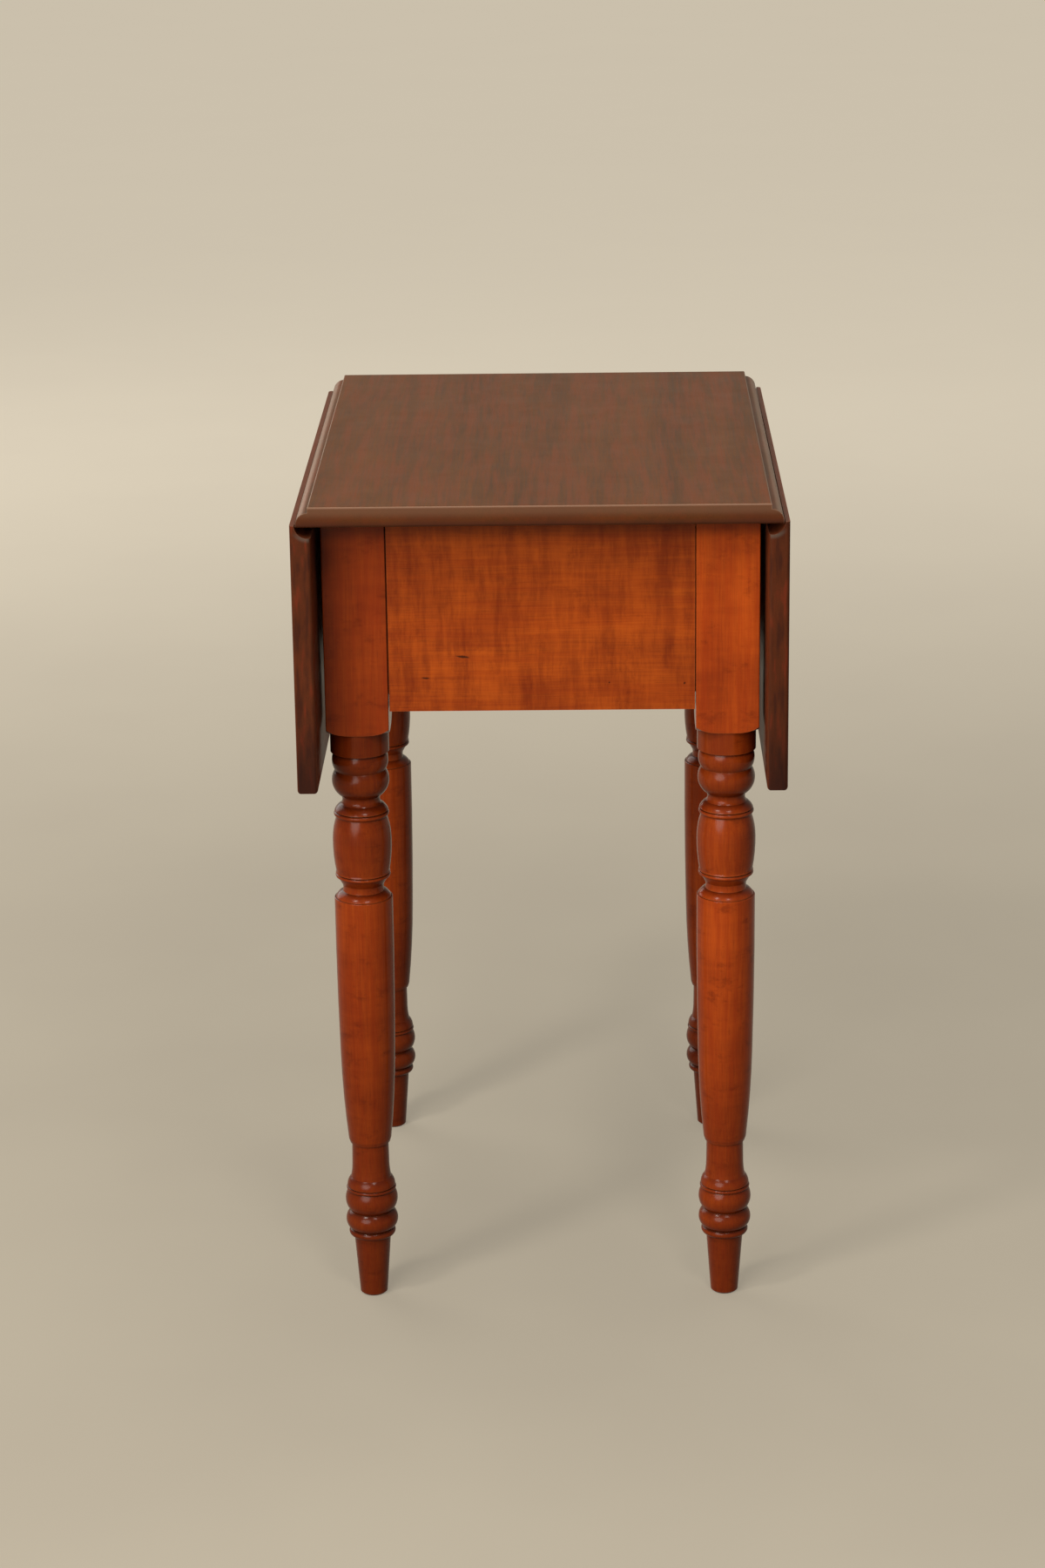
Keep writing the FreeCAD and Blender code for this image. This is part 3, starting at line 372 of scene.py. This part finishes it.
for number, (leg, tone) in enumerate(LEG_TONES.items()):
    colours = {mark: tuple(tone * share for share in colour) for mark, colour in RED_BROWN.items()}
    leg_wood = varnished_wood(
        f"{leg}_wood", colours, GRAIN_ALONG_Z, LEG_SHARES, GLOSS,
        band_width=0.02, curl_width=0.008, seed=number * 3.7)
    wiring = leg_wood.wiring
    height = leg_wood.height()
    # Darker on the necks and towards the feet
    foot = wiring.remap(height, *FOOT_FADE, FOOT_SHARE, 0.0)
    vase = wiring.remap(height, *VASE_RISE, 0.0, NECK_SHARE)
    beads = wiring.remap(height, *BEAD_RISE, 0.0, NECK_SHARE)
    below_block = wiring.remap(height, *BLOCK_START, 1.0, 0.0)
    neck = wiring.times(wiring.math("ADD", vase, beads), below_block)
    leg_wood.stain(wiring.math("MAXIMUM", foot, neck), colours["groove"])
    # The block of this leg is lighter and more golden towards its top
    if leg == GOLDEN_LEG:
        leg_wood.stain(wiring.remap(height, *GOLDEN_RISE, 0.0, GOLDEN_SHARE), GOLDEN_GAIN, "MULTIPLY")
    # Painted shadow under the top board, at the top of the leg
    leg_wood.stain(wiring.remap(height, *TOP_SHADOW_RISE, 0.0, TOP_SHADOW_SHARE), colours["groove"])
    leg_wood.cover(leg)


# End apron: one deep board of curly wood, tenoned into the front legs, with its grain from side to side.
# The curl stands upright in fine streaks under the varnish, a few small dark flecks are in the wood,
# and a painted shadow makes a darker band along its upper edge, under the top.

CURLY_ORANGE = {
    "deep": (0.085, 0.0070, 0.0020),
    "pale": (0.380, 0.0670, 0.0060),
    "flush": (0.185, 0.0170, 0.0026),
    "groove": (0.030, 0.006, 0.0015),
    "edge_tint": (0.400, 0.120, 0.035),
    "end_grain": (0.095, 0.0095, 0.0018),
}
APRON_SHARES = {
    "bands": 0.14, "lines": 0.02, "fibres": 0.20, "curl": 0.34, "clouds": 0.44,
    "flush": 0.30, "smudges": 0.32, "pores": 0.20, "end_grain": 0.5,
    "groove": 0.6, "reach": 0.012, "edge_tint": 0.25, "tilted": 0.0,
}
# The middle of each fleck (x, z), its half length and half height, and its tilt
FLECKS = {
    "knot_streak": ((-0.064, 0.585), (0.0065, 0.0012), 0.12),
    "knot_spot": ((-0.095, 0.567), (0.0038, 0.0009), 0.05),
    "pin_spot": ((0.119, 0.561), (0.0012, 0.0012), 0.0),
    "small_spot": ((0.057, 0.562), (0.0009, 0.0009), 0.0),
}
FLECK_DEPTH = 0.01
FLECK_EDGE = (0.5, 1.1)
FLECK_SHARE = 0.85
FLECK_COLOUR = (0.022, 0.006, 0.002)
RAGGED_SCALE = 420.0
RAGGED_REACH = (0.0022, 0.0, 0.0011)
apron_wood = varnished_wood(
    "end_apron_wood", CURLY_ORANGE, GRAIN_ALONG_X, APRON_SHARES, GLOSS,
    band_width=0.03, curl_width=0.0075, seed=1.9)
wiring = apron_wood.wiring
ragged = wiring.noise(apron_wood.place, RAGGED_SCALE, output="Color")
torn_place = wiring.vector("ADD", apron_wood.place, wiring.vector("MULTIPLY", ragged, RAGGED_REACH))
apron_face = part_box("end_apron")[0][1]
flecks = 0.0
for (x, z), (half_length, half_height), tilt in FLECKS.values():
    spot = wiring.add("ShaderNodeMapping", {
        "Vector": torn_place,
        "Location": (x, apron_face, z),
        "Rotation": (0.0, tilt, 0.0),
        "Scale": (half_length, FLECK_DEPTH, half_height),
    }, vector_type="TEXTURE").outputs[0]
    fleck = wiring.remap(wiring.length(spot), *FLECK_EDGE, FLECK_SHARE, 0.0)
    flecks = wiring.math("MAXIMUM", flecks, fleck)
apron_wood.stain(flecks, FLECK_COLOUR)
# Painted shadow under the top board, along the apron's upper edge
top_shadow = wiring.remap(apron_wood.height(), *TOP_SHADOW_RISE, 0.0, TOP_SHADOW_SHARE)
apron_wood.stain(top_shadow, CURLY_ORANGE["groove"])
apron_wood.cover("end_apron")


# Drawer end: two rails between the back legs and a drawer front of the same curly wood, with two turned
# knobs. Each knob is glued by a dowel through the front; its round head is polished by hands.

drawer_wood = varnished_wood(
    "drawer_front_wood", CURLY_ORANGE, GRAIN_ALONG_X, APRON_SHARES, GLOSS,
    band_width=0.03, curl_width=0.0085, seed=9.1)
drawer_wood.cover("drawer_front", "upper_drawer_rail", "lower_drawer_rail")
knob_wood = varnished_wood(
    "drawer_knob_wood", RED_BROWN, GRAIN_ALONG_Y, LEG_SHARES, GLOSS,
    band_width=0.012, curl_width=0.01, seed=12.4)
knob_wood.cover("left_drawer_knob", "right_drawer_knob")


# Hidden woodwork: side rails, fly rails and their brackets, runners, kickers, blocks and the drawer's box.
# It is planed secondary wood without varnish, darkened by age, with plane ripples across the grain.

BARE_WOOD = {
    "deep": (0.24, 0.135, 0.062),
    "pale": (0.50, 0.335, 0.185),
    "groove": (0.10, 0.055, 0.03),
    "edge_tint": (0.20, 0.115, 0.06),
}


def planed_wood(name, turn, seed):
    """Bare planed wood with its grain laid by the turn."""
    paint = Paint(name)
    wiring = paint.wiring
    band_width = 0.03
    ripple_width = 0.03
    corner_reach = 0.02
    arris_width = 0.0015
    dullness = 0.62
    laid = wiring.turned(paint.place, turn)
    grain = wiring.group(wood_grain, {"Vector": laid, "Band Width": band_width, "Seed": seed})
    figure = wiring.group(curl_figure, {"Vector": laid, "Curl Width": ripple_width, "Seed": seed})
    age = wiring.group(hollows_and_arrises, {"Reach": corner_reach, "Arris": arris_width})
    tone = wiring.weigh(
        (grain["Bands"], 0.35),
        (grain["Lines"], 0.25),
        (grain["Fibres"], 0.25),
        (figure["Clouds"], 0.2),
    )
    paint.ground(tone, BARE_WOOD["deep"], BARE_WOOD["pale"])
    # Painted shade darkens the corners and hollows
    paint.stain(wiring.times(age["Groove"], 0.6), BARE_WOOD["groove"])
    paint.stain(wiring.times(age["Arris Mask"], 0.4), BARE_WOOD["edge_tint"])
    roughness = wiring.math("ADD", wiring.times(grain["Fibres"], 0.15), dullness)
    paint.feed({"Roughness": roughness, "Specular IOR Level": 0.25})
    raised = wiring.weigh((figure["Curl"], 0.5), (grain["Fibres"], 0.4))
    paint.relief(raised, strength=0.3, depth=0.0008)
    return paint


lengthwise = planed_wood("planed_wood_lengthwise", GRAIN_ALONG_Y, seed=2.2)
crosswise = planed_wood("planed_wood_crosswise", GRAIN_ALONG_X, seed=6.6)
for side in ("left", "right"):
    lengthwise.cover(
        f"{side}_side_rail", f"{side}_fly_rail", f"{side}_fly_end", f"{side}_fly_bracket",
        f"{side}_drawer_runner", f"{side}_drawer_guide", f"{side}_kicker", f"{side}_drawer_side")
crosswise.cover("drawer_back", "drawer_bottom", "drawer_stops", "glue_blocks")


# Top board: one wide dark brown board with its grain from end to end. Both long sides have a step and an
# ovolo, and the two ends are plain with eased edges. It is stained almost to walnut and rubbed to a satin
# varnish. A painted reflection makes it paler where an edge slopes upward and on the upper part of the
# ends, and painted shade makes their lower part darker.

SATIN = {"roughness": 0.24, "specular": 0.055, "relief": 0.08}
DARK_BROWN = {
    "deep": (0.042, 0.0160, 0.0044),
    "pale": (0.115, 0.0375, 0.0080),
    "flush": (0.136, 0.0285, 0.0062),
    "groove": (0.012, 0.005, 0.003),
    # Pale colour of the painted highlight on arrises and of the painted reflection on upward slopes, with
    # wear
    "edge_tint": (0.350, 0.240, 0.175),
    "end_grain": (0.071, 0.0200, 0.0085),
}
TOP_SHARES = {
    "bands": 0.34, "lines": 0.06, "fibres": 0.42, "curl": 0.04, "clouds": 0.14,
    "flush": 0.55, "smudges": 0.22, "pores": 0.30, "end_grain": 0.62,
    "groove": 0.6, "reach": 0.012, "edge_tint": 0.55, "tilted": 0.36,
}
# Painted reflection on the upper part of each end face, and painted shade on its lower part
SHEEN_UPPER_PART = {"heights": (0.7125, 0.7205), "share": 0.50, "colour": (0.150, 0.078, 0.045)}
DARK_LOWER_PART = {"heights": (0.7135, 0.7080), "share": 0.55, "colour": (0.030, 0.008, 0.006)}
END_FACING = (0.6, 0.9)


def stain_ends(paint, mask, stain):
    """Lays a stain only on the faces that look along Y, at the two ends of the table."""
    along = paint.wiring.math("ABSOLUTE", paint.wiring.part(paint.normal, "Y"))
    at_ends = paint.wiring.remap(along, *END_FACING)
    paint.stain(paint.wiring.times(mask, at_ends), stain)


top_wood = varnished_wood(
    "top_board_wood", DARK_BROWN, GRAIN_ALONG_Y, TOP_SHARES, SATIN,
    band_width=0.03, curl_width=0.02, seed=1.4)
# Painted reflection above and painted shade below, on the end faces only
for part in (SHEEN_UPPER_PART, DARK_LOWER_PART):
    mask = top_wood.wiring.remap(top_wood.height(), *part["heights"], 0.0, part["share"])
    stain_ends(top_wood, mask, part["colour"])
top_wood.cover("top_board")


# Leaves: a board on each side, hung under the ovolo by a rule joint, stained like the top but redder.
# Dark and red growth rings show in their end grain, which is darkest at the lower edge, and a pale grey
# painted highlight lies on the arris of the hollow that turns under the ovolo there.

LEAF_BROWN = {
    "deep": (0.054, 0.0130, 0.0050),
    "pale": (0.114, 0.0300, 0.0110),
    "flush": (0.115, 0.0230, 0.0080),
    "groove": (0.014, 0.005, 0.003),
    "edge_tint": (0.170, 0.070, 0.036),
    "end_grain": (0.060, 0.0160, 0.0062),
}
LEAF_SHARES = {**TOP_SHARES, "tilted": 0.0, "smudges": 0.35}
RING_SHAPE = (1.0, 0.05, 0.15)
RING_SCALE = 220.0
DARK_RINGS = {"span": (0.46, 0.66), "share": 0.55, "colour": (0.024, 0.008, 0.006)}
RED_RINGS = {"span": (0.46, 0.30), "share": 0.50, "colour": (0.150, 0.022, 0.009)}
# Distances from the hinge's axis and depths below it where the painted grey highlight comes in and goes out
HOLLOW_EDGE = (0.0105, 0.0115)
HIGHLIGHT_FADE = (0.0120, 0.0155)
HIGHLIGHT_DEPTHS = (0.005, 0.012)
HIGHLIGHT_SHARE = 0.5
HIGHLIGHT_GREY = (0.100, 0.086, 0.070)
DARK_EDGE_RISE = 0.085
DARK_EDGE_SHARE = 0.72
DARK_EDGE_COLOUR = (0.016, 0.006, 0.005)
for number, side in enumerate(("left", "right")):
    leaf_wood = varnished_wood(
        f"{side}_leaf_wood", LEAF_BROWN, GRAIN_ALONG_Y, LEAF_SHARES, SATIN,
        band_width=0.035, curl_width=0.02, seed=20.0 + number * 4.9)
    wiring = leaf_wood.wiring
    height = leaf_wood.height()
    ring_place = wiring.vector("MULTIPLY", leaf_wood.place, RING_SHAPE)
    rings = wiring.noise(ring_place, RING_SCALE, seed=number * 5.3, detail=3.0)
    for tint in (DARK_RINGS, RED_RINGS):
        stain_ends(leaf_wood, wiring.remap(rings, *tint["span"], 0.0, tint["share"]), tint["colour"])
    pin_low, pin_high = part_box(f"{side}_front_hinge_pin")
    axis = ((pin_low[0] + pin_high[0]) / 2, 0.0, (pin_low[2] + pin_high[2]) / 2)
    from_axis = wiring.vector("SUBTRACT", leaf_wood.place, axis)
    away = wiring.length(wiring.vector("MULTIPLY", from_axis, (1.0, 0.0, 1.0)))
    outside_hollow = wiring.remap(away, *HOLLOW_EDGE, 0.0, HIGHLIGHT_SHARE)
    near_hollow = wiring.remap(away, *HIGHLIGHT_FADE, 1.0, 0.0)
    below_axis = wiring.remap(height, *(axis[2] - depth for depth in HIGHLIGHT_DEPTHS))
    # Painted highlight: a pale grey crescent on the arris of the hollow
    stain_ends(leaf_wood, wiring.times(outside_hollow, near_hollow, below_axis), HIGHLIGHT_GREY)
    lower_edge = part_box(f"{side}_leaf")[0][2]
    near_edge = wiring.remap(height, lower_edge, lower_edge + DARK_EDGE_RISE, DARK_EDGE_SHARE, 0.0)
    stain_ends(leaf_wood, near_edge, DARK_EDGE_COLOUR)
    leaf_wood.cover(f"{side}_leaf")


# Rule-joint hinges: a short plate under the top and a long plate on the leaf, with knuckles on a steel pin.
# They are forged iron, dark from age, with a little rust and bright metal where the knuckles rub.

BRIGHT_ARRIS = (0.42, 0.40, 0.37)


def forged_metal(name, dark, bright, rust, rust_share):
    """Old dark metal with rust in patches and bright arrises."""
    paint = Paint(name)
    wiring = paint.wiring
    corner_reach = 0.006
    arris_width = 0.0006
    patch_scale = 130.0
    patch_span = (0.48, 0.66)
    hammer_scale = 260.0
    hammer_span = (0.3, 0.7)
    age = wiring.group(hollows_and_arrises, {"Reach": corner_reach, "Arris": arris_width})
    patchy = wiring.noise(paint.place, patch_scale, seed=3.1, detail=4.0, roughness=0.6)
    patches = wiring.remap(patchy, *patch_span)
    rusted = wiring.times(patches, rust_share)
    hammered = wiring.noise(paint.place, hammer_scale, seed=1.7)
    paint.ground(wiring.remap(hammered, *hammer_span), dark, bright)
    paint.stain(rusted, rust)
    paint.stain(wiring.times(age["Arris Mask"], 0.6), BRIGHT_ARRIS)
    metallic = wiring.math("SUBTRACT", 0.95, rusted)
    roughness = wiring.math("ADD", wiring.times(patches, 0.3), 0.42)
    paint.feed({"Metallic": metallic, "Roughness": roughness})
    paint.relief(hammered, strength=0.35, depth=0.0004)
    return paint


iron = forged_metal(
    "hinge_iron", dark=(0.055, 0.05, 0.047), bright=(0.13, 0.12, 0.11),
    rust=(0.16, 0.055, 0.022), rust_share=0.45)
steel = forged_metal(
    "pin_steel", dark=(0.20, 0.19, 0.18), bright=(0.40, 0.385, 0.365),
    rust=(0.19, 0.075, 0.03), rust_share=0.2)
for side in ("left", "right"):
    for end in ("front", "back"):
        iron.cover(f"{side}_{end}_hinge_short_plate", f"{side}_{end}_hinge_long_plate")
        steel.cover(f"{side}_{end}_hinge_pin")
    steel.cover(f"{side}_fly_pin")


# Wood screws: hand-filed slotted screws with countersunk heads, three in each hinge plate,
# two up through each kicker into the top and three through each side rail into the fly rail.

SCREW_SIZES = {
    "Head Radius": 0.0034,
    "Head Height": 0.0018,
    "Shank Radius": 0.0016,
    "Slot Width": 0.0008,
    "Slot Depth": 0.0007,
    "Length": 0.014,
}
HEAD_SIDES = 20
SHANK_SIDES = 16
SLOT_OVERCUT = 2.4
SLOT_SEED = 7


def screw_tree():
    """Geometry nodes that put a slotted screw, head first along an axis, on each point of a mesh."""
    tree = bpy.data.node_groups.new("slotted_screws", "GeometryNodeTree")
    tree.interface.new_socket("Points", in_out="INPUT", socket_type="NodeSocketGeometry")
    for label, value in SCREW_SIZES.items():
        socket = tree.interface.new_socket(label, in_out="INPUT", socket_type="NodeSocketFloat")
        socket.default_value = value
    tree.interface.new_socket("Axis", in_out="INPUT", socket_type="NodeSocketVector")
    tree.interface.new_socket("Metal", in_out="INPUT", socket_type="NodeSocketMaterial")
    tree.interface.new_socket("Screws", in_out="OUTPUT", socket_type="NodeSocketGeometry")
    wiring = Wiring(tree)
    given = wiring.add("NodeGroupInput").outputs
    head = wiring.add("GeometryNodeMeshCone", {
        "Vertices": HEAD_SIDES,
        "Radius Bottom": given["Head Radius"],
        "Radius Top": given["Shank Radius"],
        "Depth": given["Head Height"],
    }).outputs["Mesh"]
    centred_shank = wiring.add("GeometryNodeMeshCylinder", {
        "Vertices": SHANK_SIDES,
        "Radius": given["Shank Radius"],
        "Depth": given["Length"],
    }).outputs["Mesh"]
    half_length = wiring.math("DIVIDE", given["Length"], 2.0)
    shank = wiring.add("GeometryNodeTransform", {
        "Geometry": centred_shank,
        "Translation": wiring.add("ShaderNodeCombineXYZ", {"Z": half_length}).outputs[0],
    }).outputs[0]
    slot_size = wiring.add("ShaderNodeCombineXYZ", {
        "X": wiring.times(given["Head Radius"], SLOT_OVERCUT),
        "Y": given["Slot Width"],
        "Z": wiring.times(given["Slot Depth"], 2.0),
    }).outputs[0]
    slot = wiring.add("GeometryNodeMeshCube", {"Size": slot_size}).outputs["Mesh"]
    joined = wiring.add("GeometryNodeJoinGeometry")
    for whole in (head, shank):
        meshes = {"Mesh 1": whole, "Mesh 2": slot}
        cut = wiring.add("GeometryNodeMeshBoolean", meshes, operation="DIFFERENCE").outputs["Mesh"]
        wiring.feed(joined.inputs[0], cut)
    aim = wiring.add("FunctionNodeAlignRotationToVector", {"Vector": given["Axis"]}, axis="Z").outputs[0]
    # A Random Value node repeats its socket names, so the ones for plain numbers go by number.
    number_max = 3
    number_value = 1
    half_turn = {"Seed": SLOT_SEED, number_max: math.pi}
    slot_angle = wiring.add("FunctionNodeRandomValue", half_turn, data_type="FLOAT")
    spin = wiring.add("FunctionNodeAxisAngleToRotation", {
        "Axis": (0.0, 0.0, 1.0),
        "Angle": slot_angle.outputs[number_value],
    }).outputs[0]
    rotations = {"Rotation": aim, "Rotate By": spin}
    turned = wiring.add("FunctionNodeRotateRotation", rotations, rotation_space="LOCAL").outputs[0]
    screws = wiring.add("GeometryNodeInstanceOnPoints", {
        "Points": given["Points"],
        "Instance": joined.outputs[0],
        "Rotation": turned,
    }).outputs[0]
    real = wiring.add("GeometryNodeRealizeInstances", {"Geometry": screws}).outputs[0]
    painted = wiring.add("GeometryNodeSetMaterial", {"Geometry": real, "Material": given["Metal"]})
    wiring.add("NodeGroupOutput", {"Screws": painted.outputs[0]})
    return tree


def solids_of(node):
    """The lowest and highest corner of each separate solid in a CAD node, from a merged copy of its mesh."""
    copy = bmesh.new()
    copy.from_mesh(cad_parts[node].data)
    bmesh.ops.remove_doubles(copy, verts=copy.verts, dist=1e-6)
    left = set(copy.verts)
    boxes = []
    while left:
        wave = [left.pop()]
        solid = []
        while wave:
            vert = wave.pop()
            solid.append(vert.co.copy())
            for edge in vert.link_edges:
                other = edge.other_vert(vert)
                if other in left:
                    left.remove(other)
                    wave.append(other)
        low = Vector([min(co[axis] for co in solid) for axis in range(3)])
        high = Vector([max(co[axis] for co in solid) for axis in range(3)])
        boxes.append((low, high))
    copy.free()
    return sorted(boxes, key=lambda box: tuple(round(value, 5) for value in box[0]))


slotted_screws = screw_tree()


def screw_set(name, node, axis_of, body):
    """Stands slotted screws where a CAD group of plain screws is; each screw's middle gives its axis."""
    aims = {}
    for low, high in solids_of(node):
        middle = (low + high) / 2
        axis = Vector(axis_of(middle))
        length = abs((high - low).dot(axis))
        start = middle - axis * length / 2
        aims.setdefault((tuple(axis), round(length, 5)), []).append(start)
    made = bmesh.new()
    for (axis, length), starts in aims.items():
        points = bpy.data.meshes.new(f"{name}_points")
        points.from_pydata(starts, [], [])
        holder = bpy.data.objects.new(f"{name}_holder", points)
        bpy.context.scene.collection.objects.link(holder)
        nodes = holder.modifiers.new("screws", "NODES")
        nodes.node_group = slotted_screws
        values = {"Length": length, "Axis": axis, "Metal": steel.material}
        for item in slotted_screws.interface.items_tree:
            if item.in_out == "INPUT" and item.name in values:
                nodes[item.identifier] = values[item.name]
        evaluated = holder.evaluated_get(bpy.context.evaluated_depsgraph_get())
        real = bpy.data.meshes.new_from_object(evaluated)
        holder.modifiers.remove(nodes)
        bpy.data.objects.remove(holder)
        made.from_mesh(real)
        bpy.data.meshes.remove(real)
    mesh = bpy.data.meshes.new(name)
    made.to_mesh(mesh)
    made.free()
    mesh.materials.append(steel.material)
    piece = bpy.data.objects.new(name, mesh)
    bpy.context.scene.collection.objects.link(piece)
    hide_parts(node)
    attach(piece, body)


def straight_up(middle):
    return (0.0, 0.0, 1.0)


def outward(middle):
    return (math.copysign(1.0, middle.x), 0.0, 0.0)


screw_set("top_hinge_screw_set", "top_hinge_screws", straight_up, "frame")
screw_set("top_board_screw_set", "top_screws", straight_up, "frame")
screw_set("fly_rail_screw_set", "fly_rail_screws", outward, "frame")
screw_set("left_leaf_screw_set", "left_leaf_screws", outward, "left_leaf")
screw_set("right_leaf_screw_set", "right_leaf_screws", outward, "right_leaf")


# Studio: a plain pale floor that runs out of sight into a pale room. A broad low window at the front left
# gives most of the light, two small lamps above the front give the highlights, and the back and the ceiling
# fill in. The camera stands where the photograph was taken from, above the end of the table.

FLOOR_HALF = 30.0
FLOOR_DEEP = (0.20, 0.178, 0.141)
FLOOR_PALE = (0.215, 0.193, 0.152)
FLOOR_GLOW = (0.62, 0.55, 0.435)
MOTTLE_SCALE = 3.0
MOTTLE_SPAN = (0.3, 0.7)
GLOW_DISTANCES = (0.4, 3.6)
GLOW_STRENGTHS = (0.37, 0.90)
ROOM_COLOUR = (0.63, 0.57, 0.47)
ROOM_LIGHT = 0.26
ROOM_SEEN = 0.75


def seen_directly(wiring):
    """One for what is seen straight, mirrored or through glass, and zero for light that surfaces scatter."""
    ray = wiring.add("ShaderNodeLightPath").outputs
    seen = wiring.math("MAXIMUM", ray["Is Camera Ray"], ray["Is Glossy Ray"])
    return wiring.math("MAXIMUM", seen, ray["Is Transmission Ray"])


floor_mesh = bpy.data.meshes.new("studio_floor")
corners = [(x * FLOOR_HALF, y * FLOOR_HALF, 0.0) for x, y in ((-1, -1), (1, -1), (1, 1), (-1, 1))]
floor_mesh.from_pydata(corners, [], [(0, 1, 2, 3)])
floor = bpy.data.objects.new("studio_floor", floor_mesh)
bpy.context.scene.collection.objects.link(floor)
floor_paint = Paint("studio_floor_paint")
wiring = floor_paint.wiring
mottled = wiring.noise(floor_paint.place, MOTTLE_SCALE, detail=3.0)
floor_paint.ground(wiring.remap(mottled, *MOTTLE_SPAN), FLOOR_DEEP, FLOOR_PALE)
floor_paint.feed({"Roughness": 0.9, "Specular IOR Level": 0.0})
glowing = wiring.remap(wiring.length(floor_paint.place), *GLOW_DISTANCES, *GLOW_STRENGTHS)
strength = wiring.times(glowing, seen_directly(wiring))
glow = wiring.add("ShaderNodeEmission", {"Color": (*FLOOR_GLOW, 1.0), "Strength": strength})
lit = wiring.add("ShaderNodeAddShader", {0: floor_paint.shader.outputs[0], 1: glow.outputs[0]})
wiring.feed(wiring.tree.nodes["Material Output"].inputs["Surface"], lit.outputs[0])
floor_mesh.materials.append(floor_paint.material)

world = bpy.data.worlds.new("pale_room")
world.use_nodes = True
wiring = Wiring(world.node_tree)
background = world.node_tree.nodes["Background"].inputs
wiring.feed(background["Color"], (*ROOM_COLOUR, 1.0))
wiring.feed(background["Strength"], wiring.remap(seen_directly(wiring), 0.0, 1.0, ROOM_LIGHT, ROOM_SEEN))
bpy.context.scene.world = world

TABLE_MIDDLE = Vector((0.0, 0.0, 0.45))
WINDOW_WHITE = (1.0, 0.96, 0.90)
LAMP_WHITE = (1.0, 0.95, 0.88)
FILL_WHITE = (1.0, 0.97, 0.92)


def soft_light(name, spot, size, power, colour):
    """A round lamp that is aimed at the middle of the table."""
    lamp = bpy.data.lights.new(name, "AREA")
    lamp.shape = "DISK"
    lamp.size = size
    lamp.energy = power
    lamp.color = colour
    thing = bpy.data.objects.new(name, lamp)
    thing.location = spot
    thing.rotation_euler = (TABLE_MIDDLE - Vector(spot)).to_track_quat("-Z", "Y").to_euler()
    bpy.context.scene.collection.objects.link(thing)


soft_light("front_window", (-1.81, -3.55, 1.90), size=2.8, power=160.0, colour=WINDOW_WHITE)
soft_light("left_lamp", (-1.34, -1.40, 2.64), size=0.42, power=28.0, colour=LAMP_WHITE)
soft_light("right_lamp", (0.54, -1.95, 2.60), size=0.60, power=20.0, colour=LAMP_WHITE)
soft_light("back_light", (-2.40, 2.60, 1.90), size=2.8, power=54.0, colour=FILL_WHITE)
soft_light("ceiling_light", (0.2, 0.3, 3.0), size=1.6, power=27.0, colour=FILL_WHITE)

CAMERA_SPOT = (0.034946, -3.217083, 1.442522)
CAMERA_YAW = 0.01732
CAMERA_PITCH = 0.31173
CAMERA_ROLL = 0.01313
FOCAL_PIXELS = 4350.7
IMAGE_HEIGHT_PIXELS = 1800.0
FILM_HEIGHT = 36.0
SIGHT_END = 200.0
ahead = Vector((-math.sin(CAMERA_YAW) * math.cos(CAMERA_PITCH),
                math.cos(CAMERA_YAW) * math.cos(CAMERA_PITCH),
                -math.sin(CAMERA_PITCH)))
level = Vector((math.cos(CAMERA_YAW), math.sin(CAMERA_YAW), 0.0))
upright = level.cross(ahead)
right = level * math.cos(CAMERA_ROLL) - upright * math.sin(CAMERA_ROLL)
up = level * math.sin(CAMERA_ROLL) + upright * math.cos(CAMERA_ROLL)
lens = bpy.data.cameras.new("photo_camera")
lens.sensor_fit = "VERTICAL"
lens.sensor_height = FILM_HEIGHT
lens.lens = FOCAL_PIXELS * FILM_HEIGHT / IMAGE_HEIGHT_PIXELS
lens.clip_end = SIGHT_END
camera = bpy.data.objects.new("photo_camera", lens)
turn = Matrix((right, up, -ahead)).transposed().to_4x4()
camera.matrix_world = Matrix.Translation(CAMERA_SPOT) @ turn
bpy.context.scene.collection.objects.link(camera)
bpy.context.scene.camera = camera
bpy.context.scene.view_settings.view_transform = "Standard"
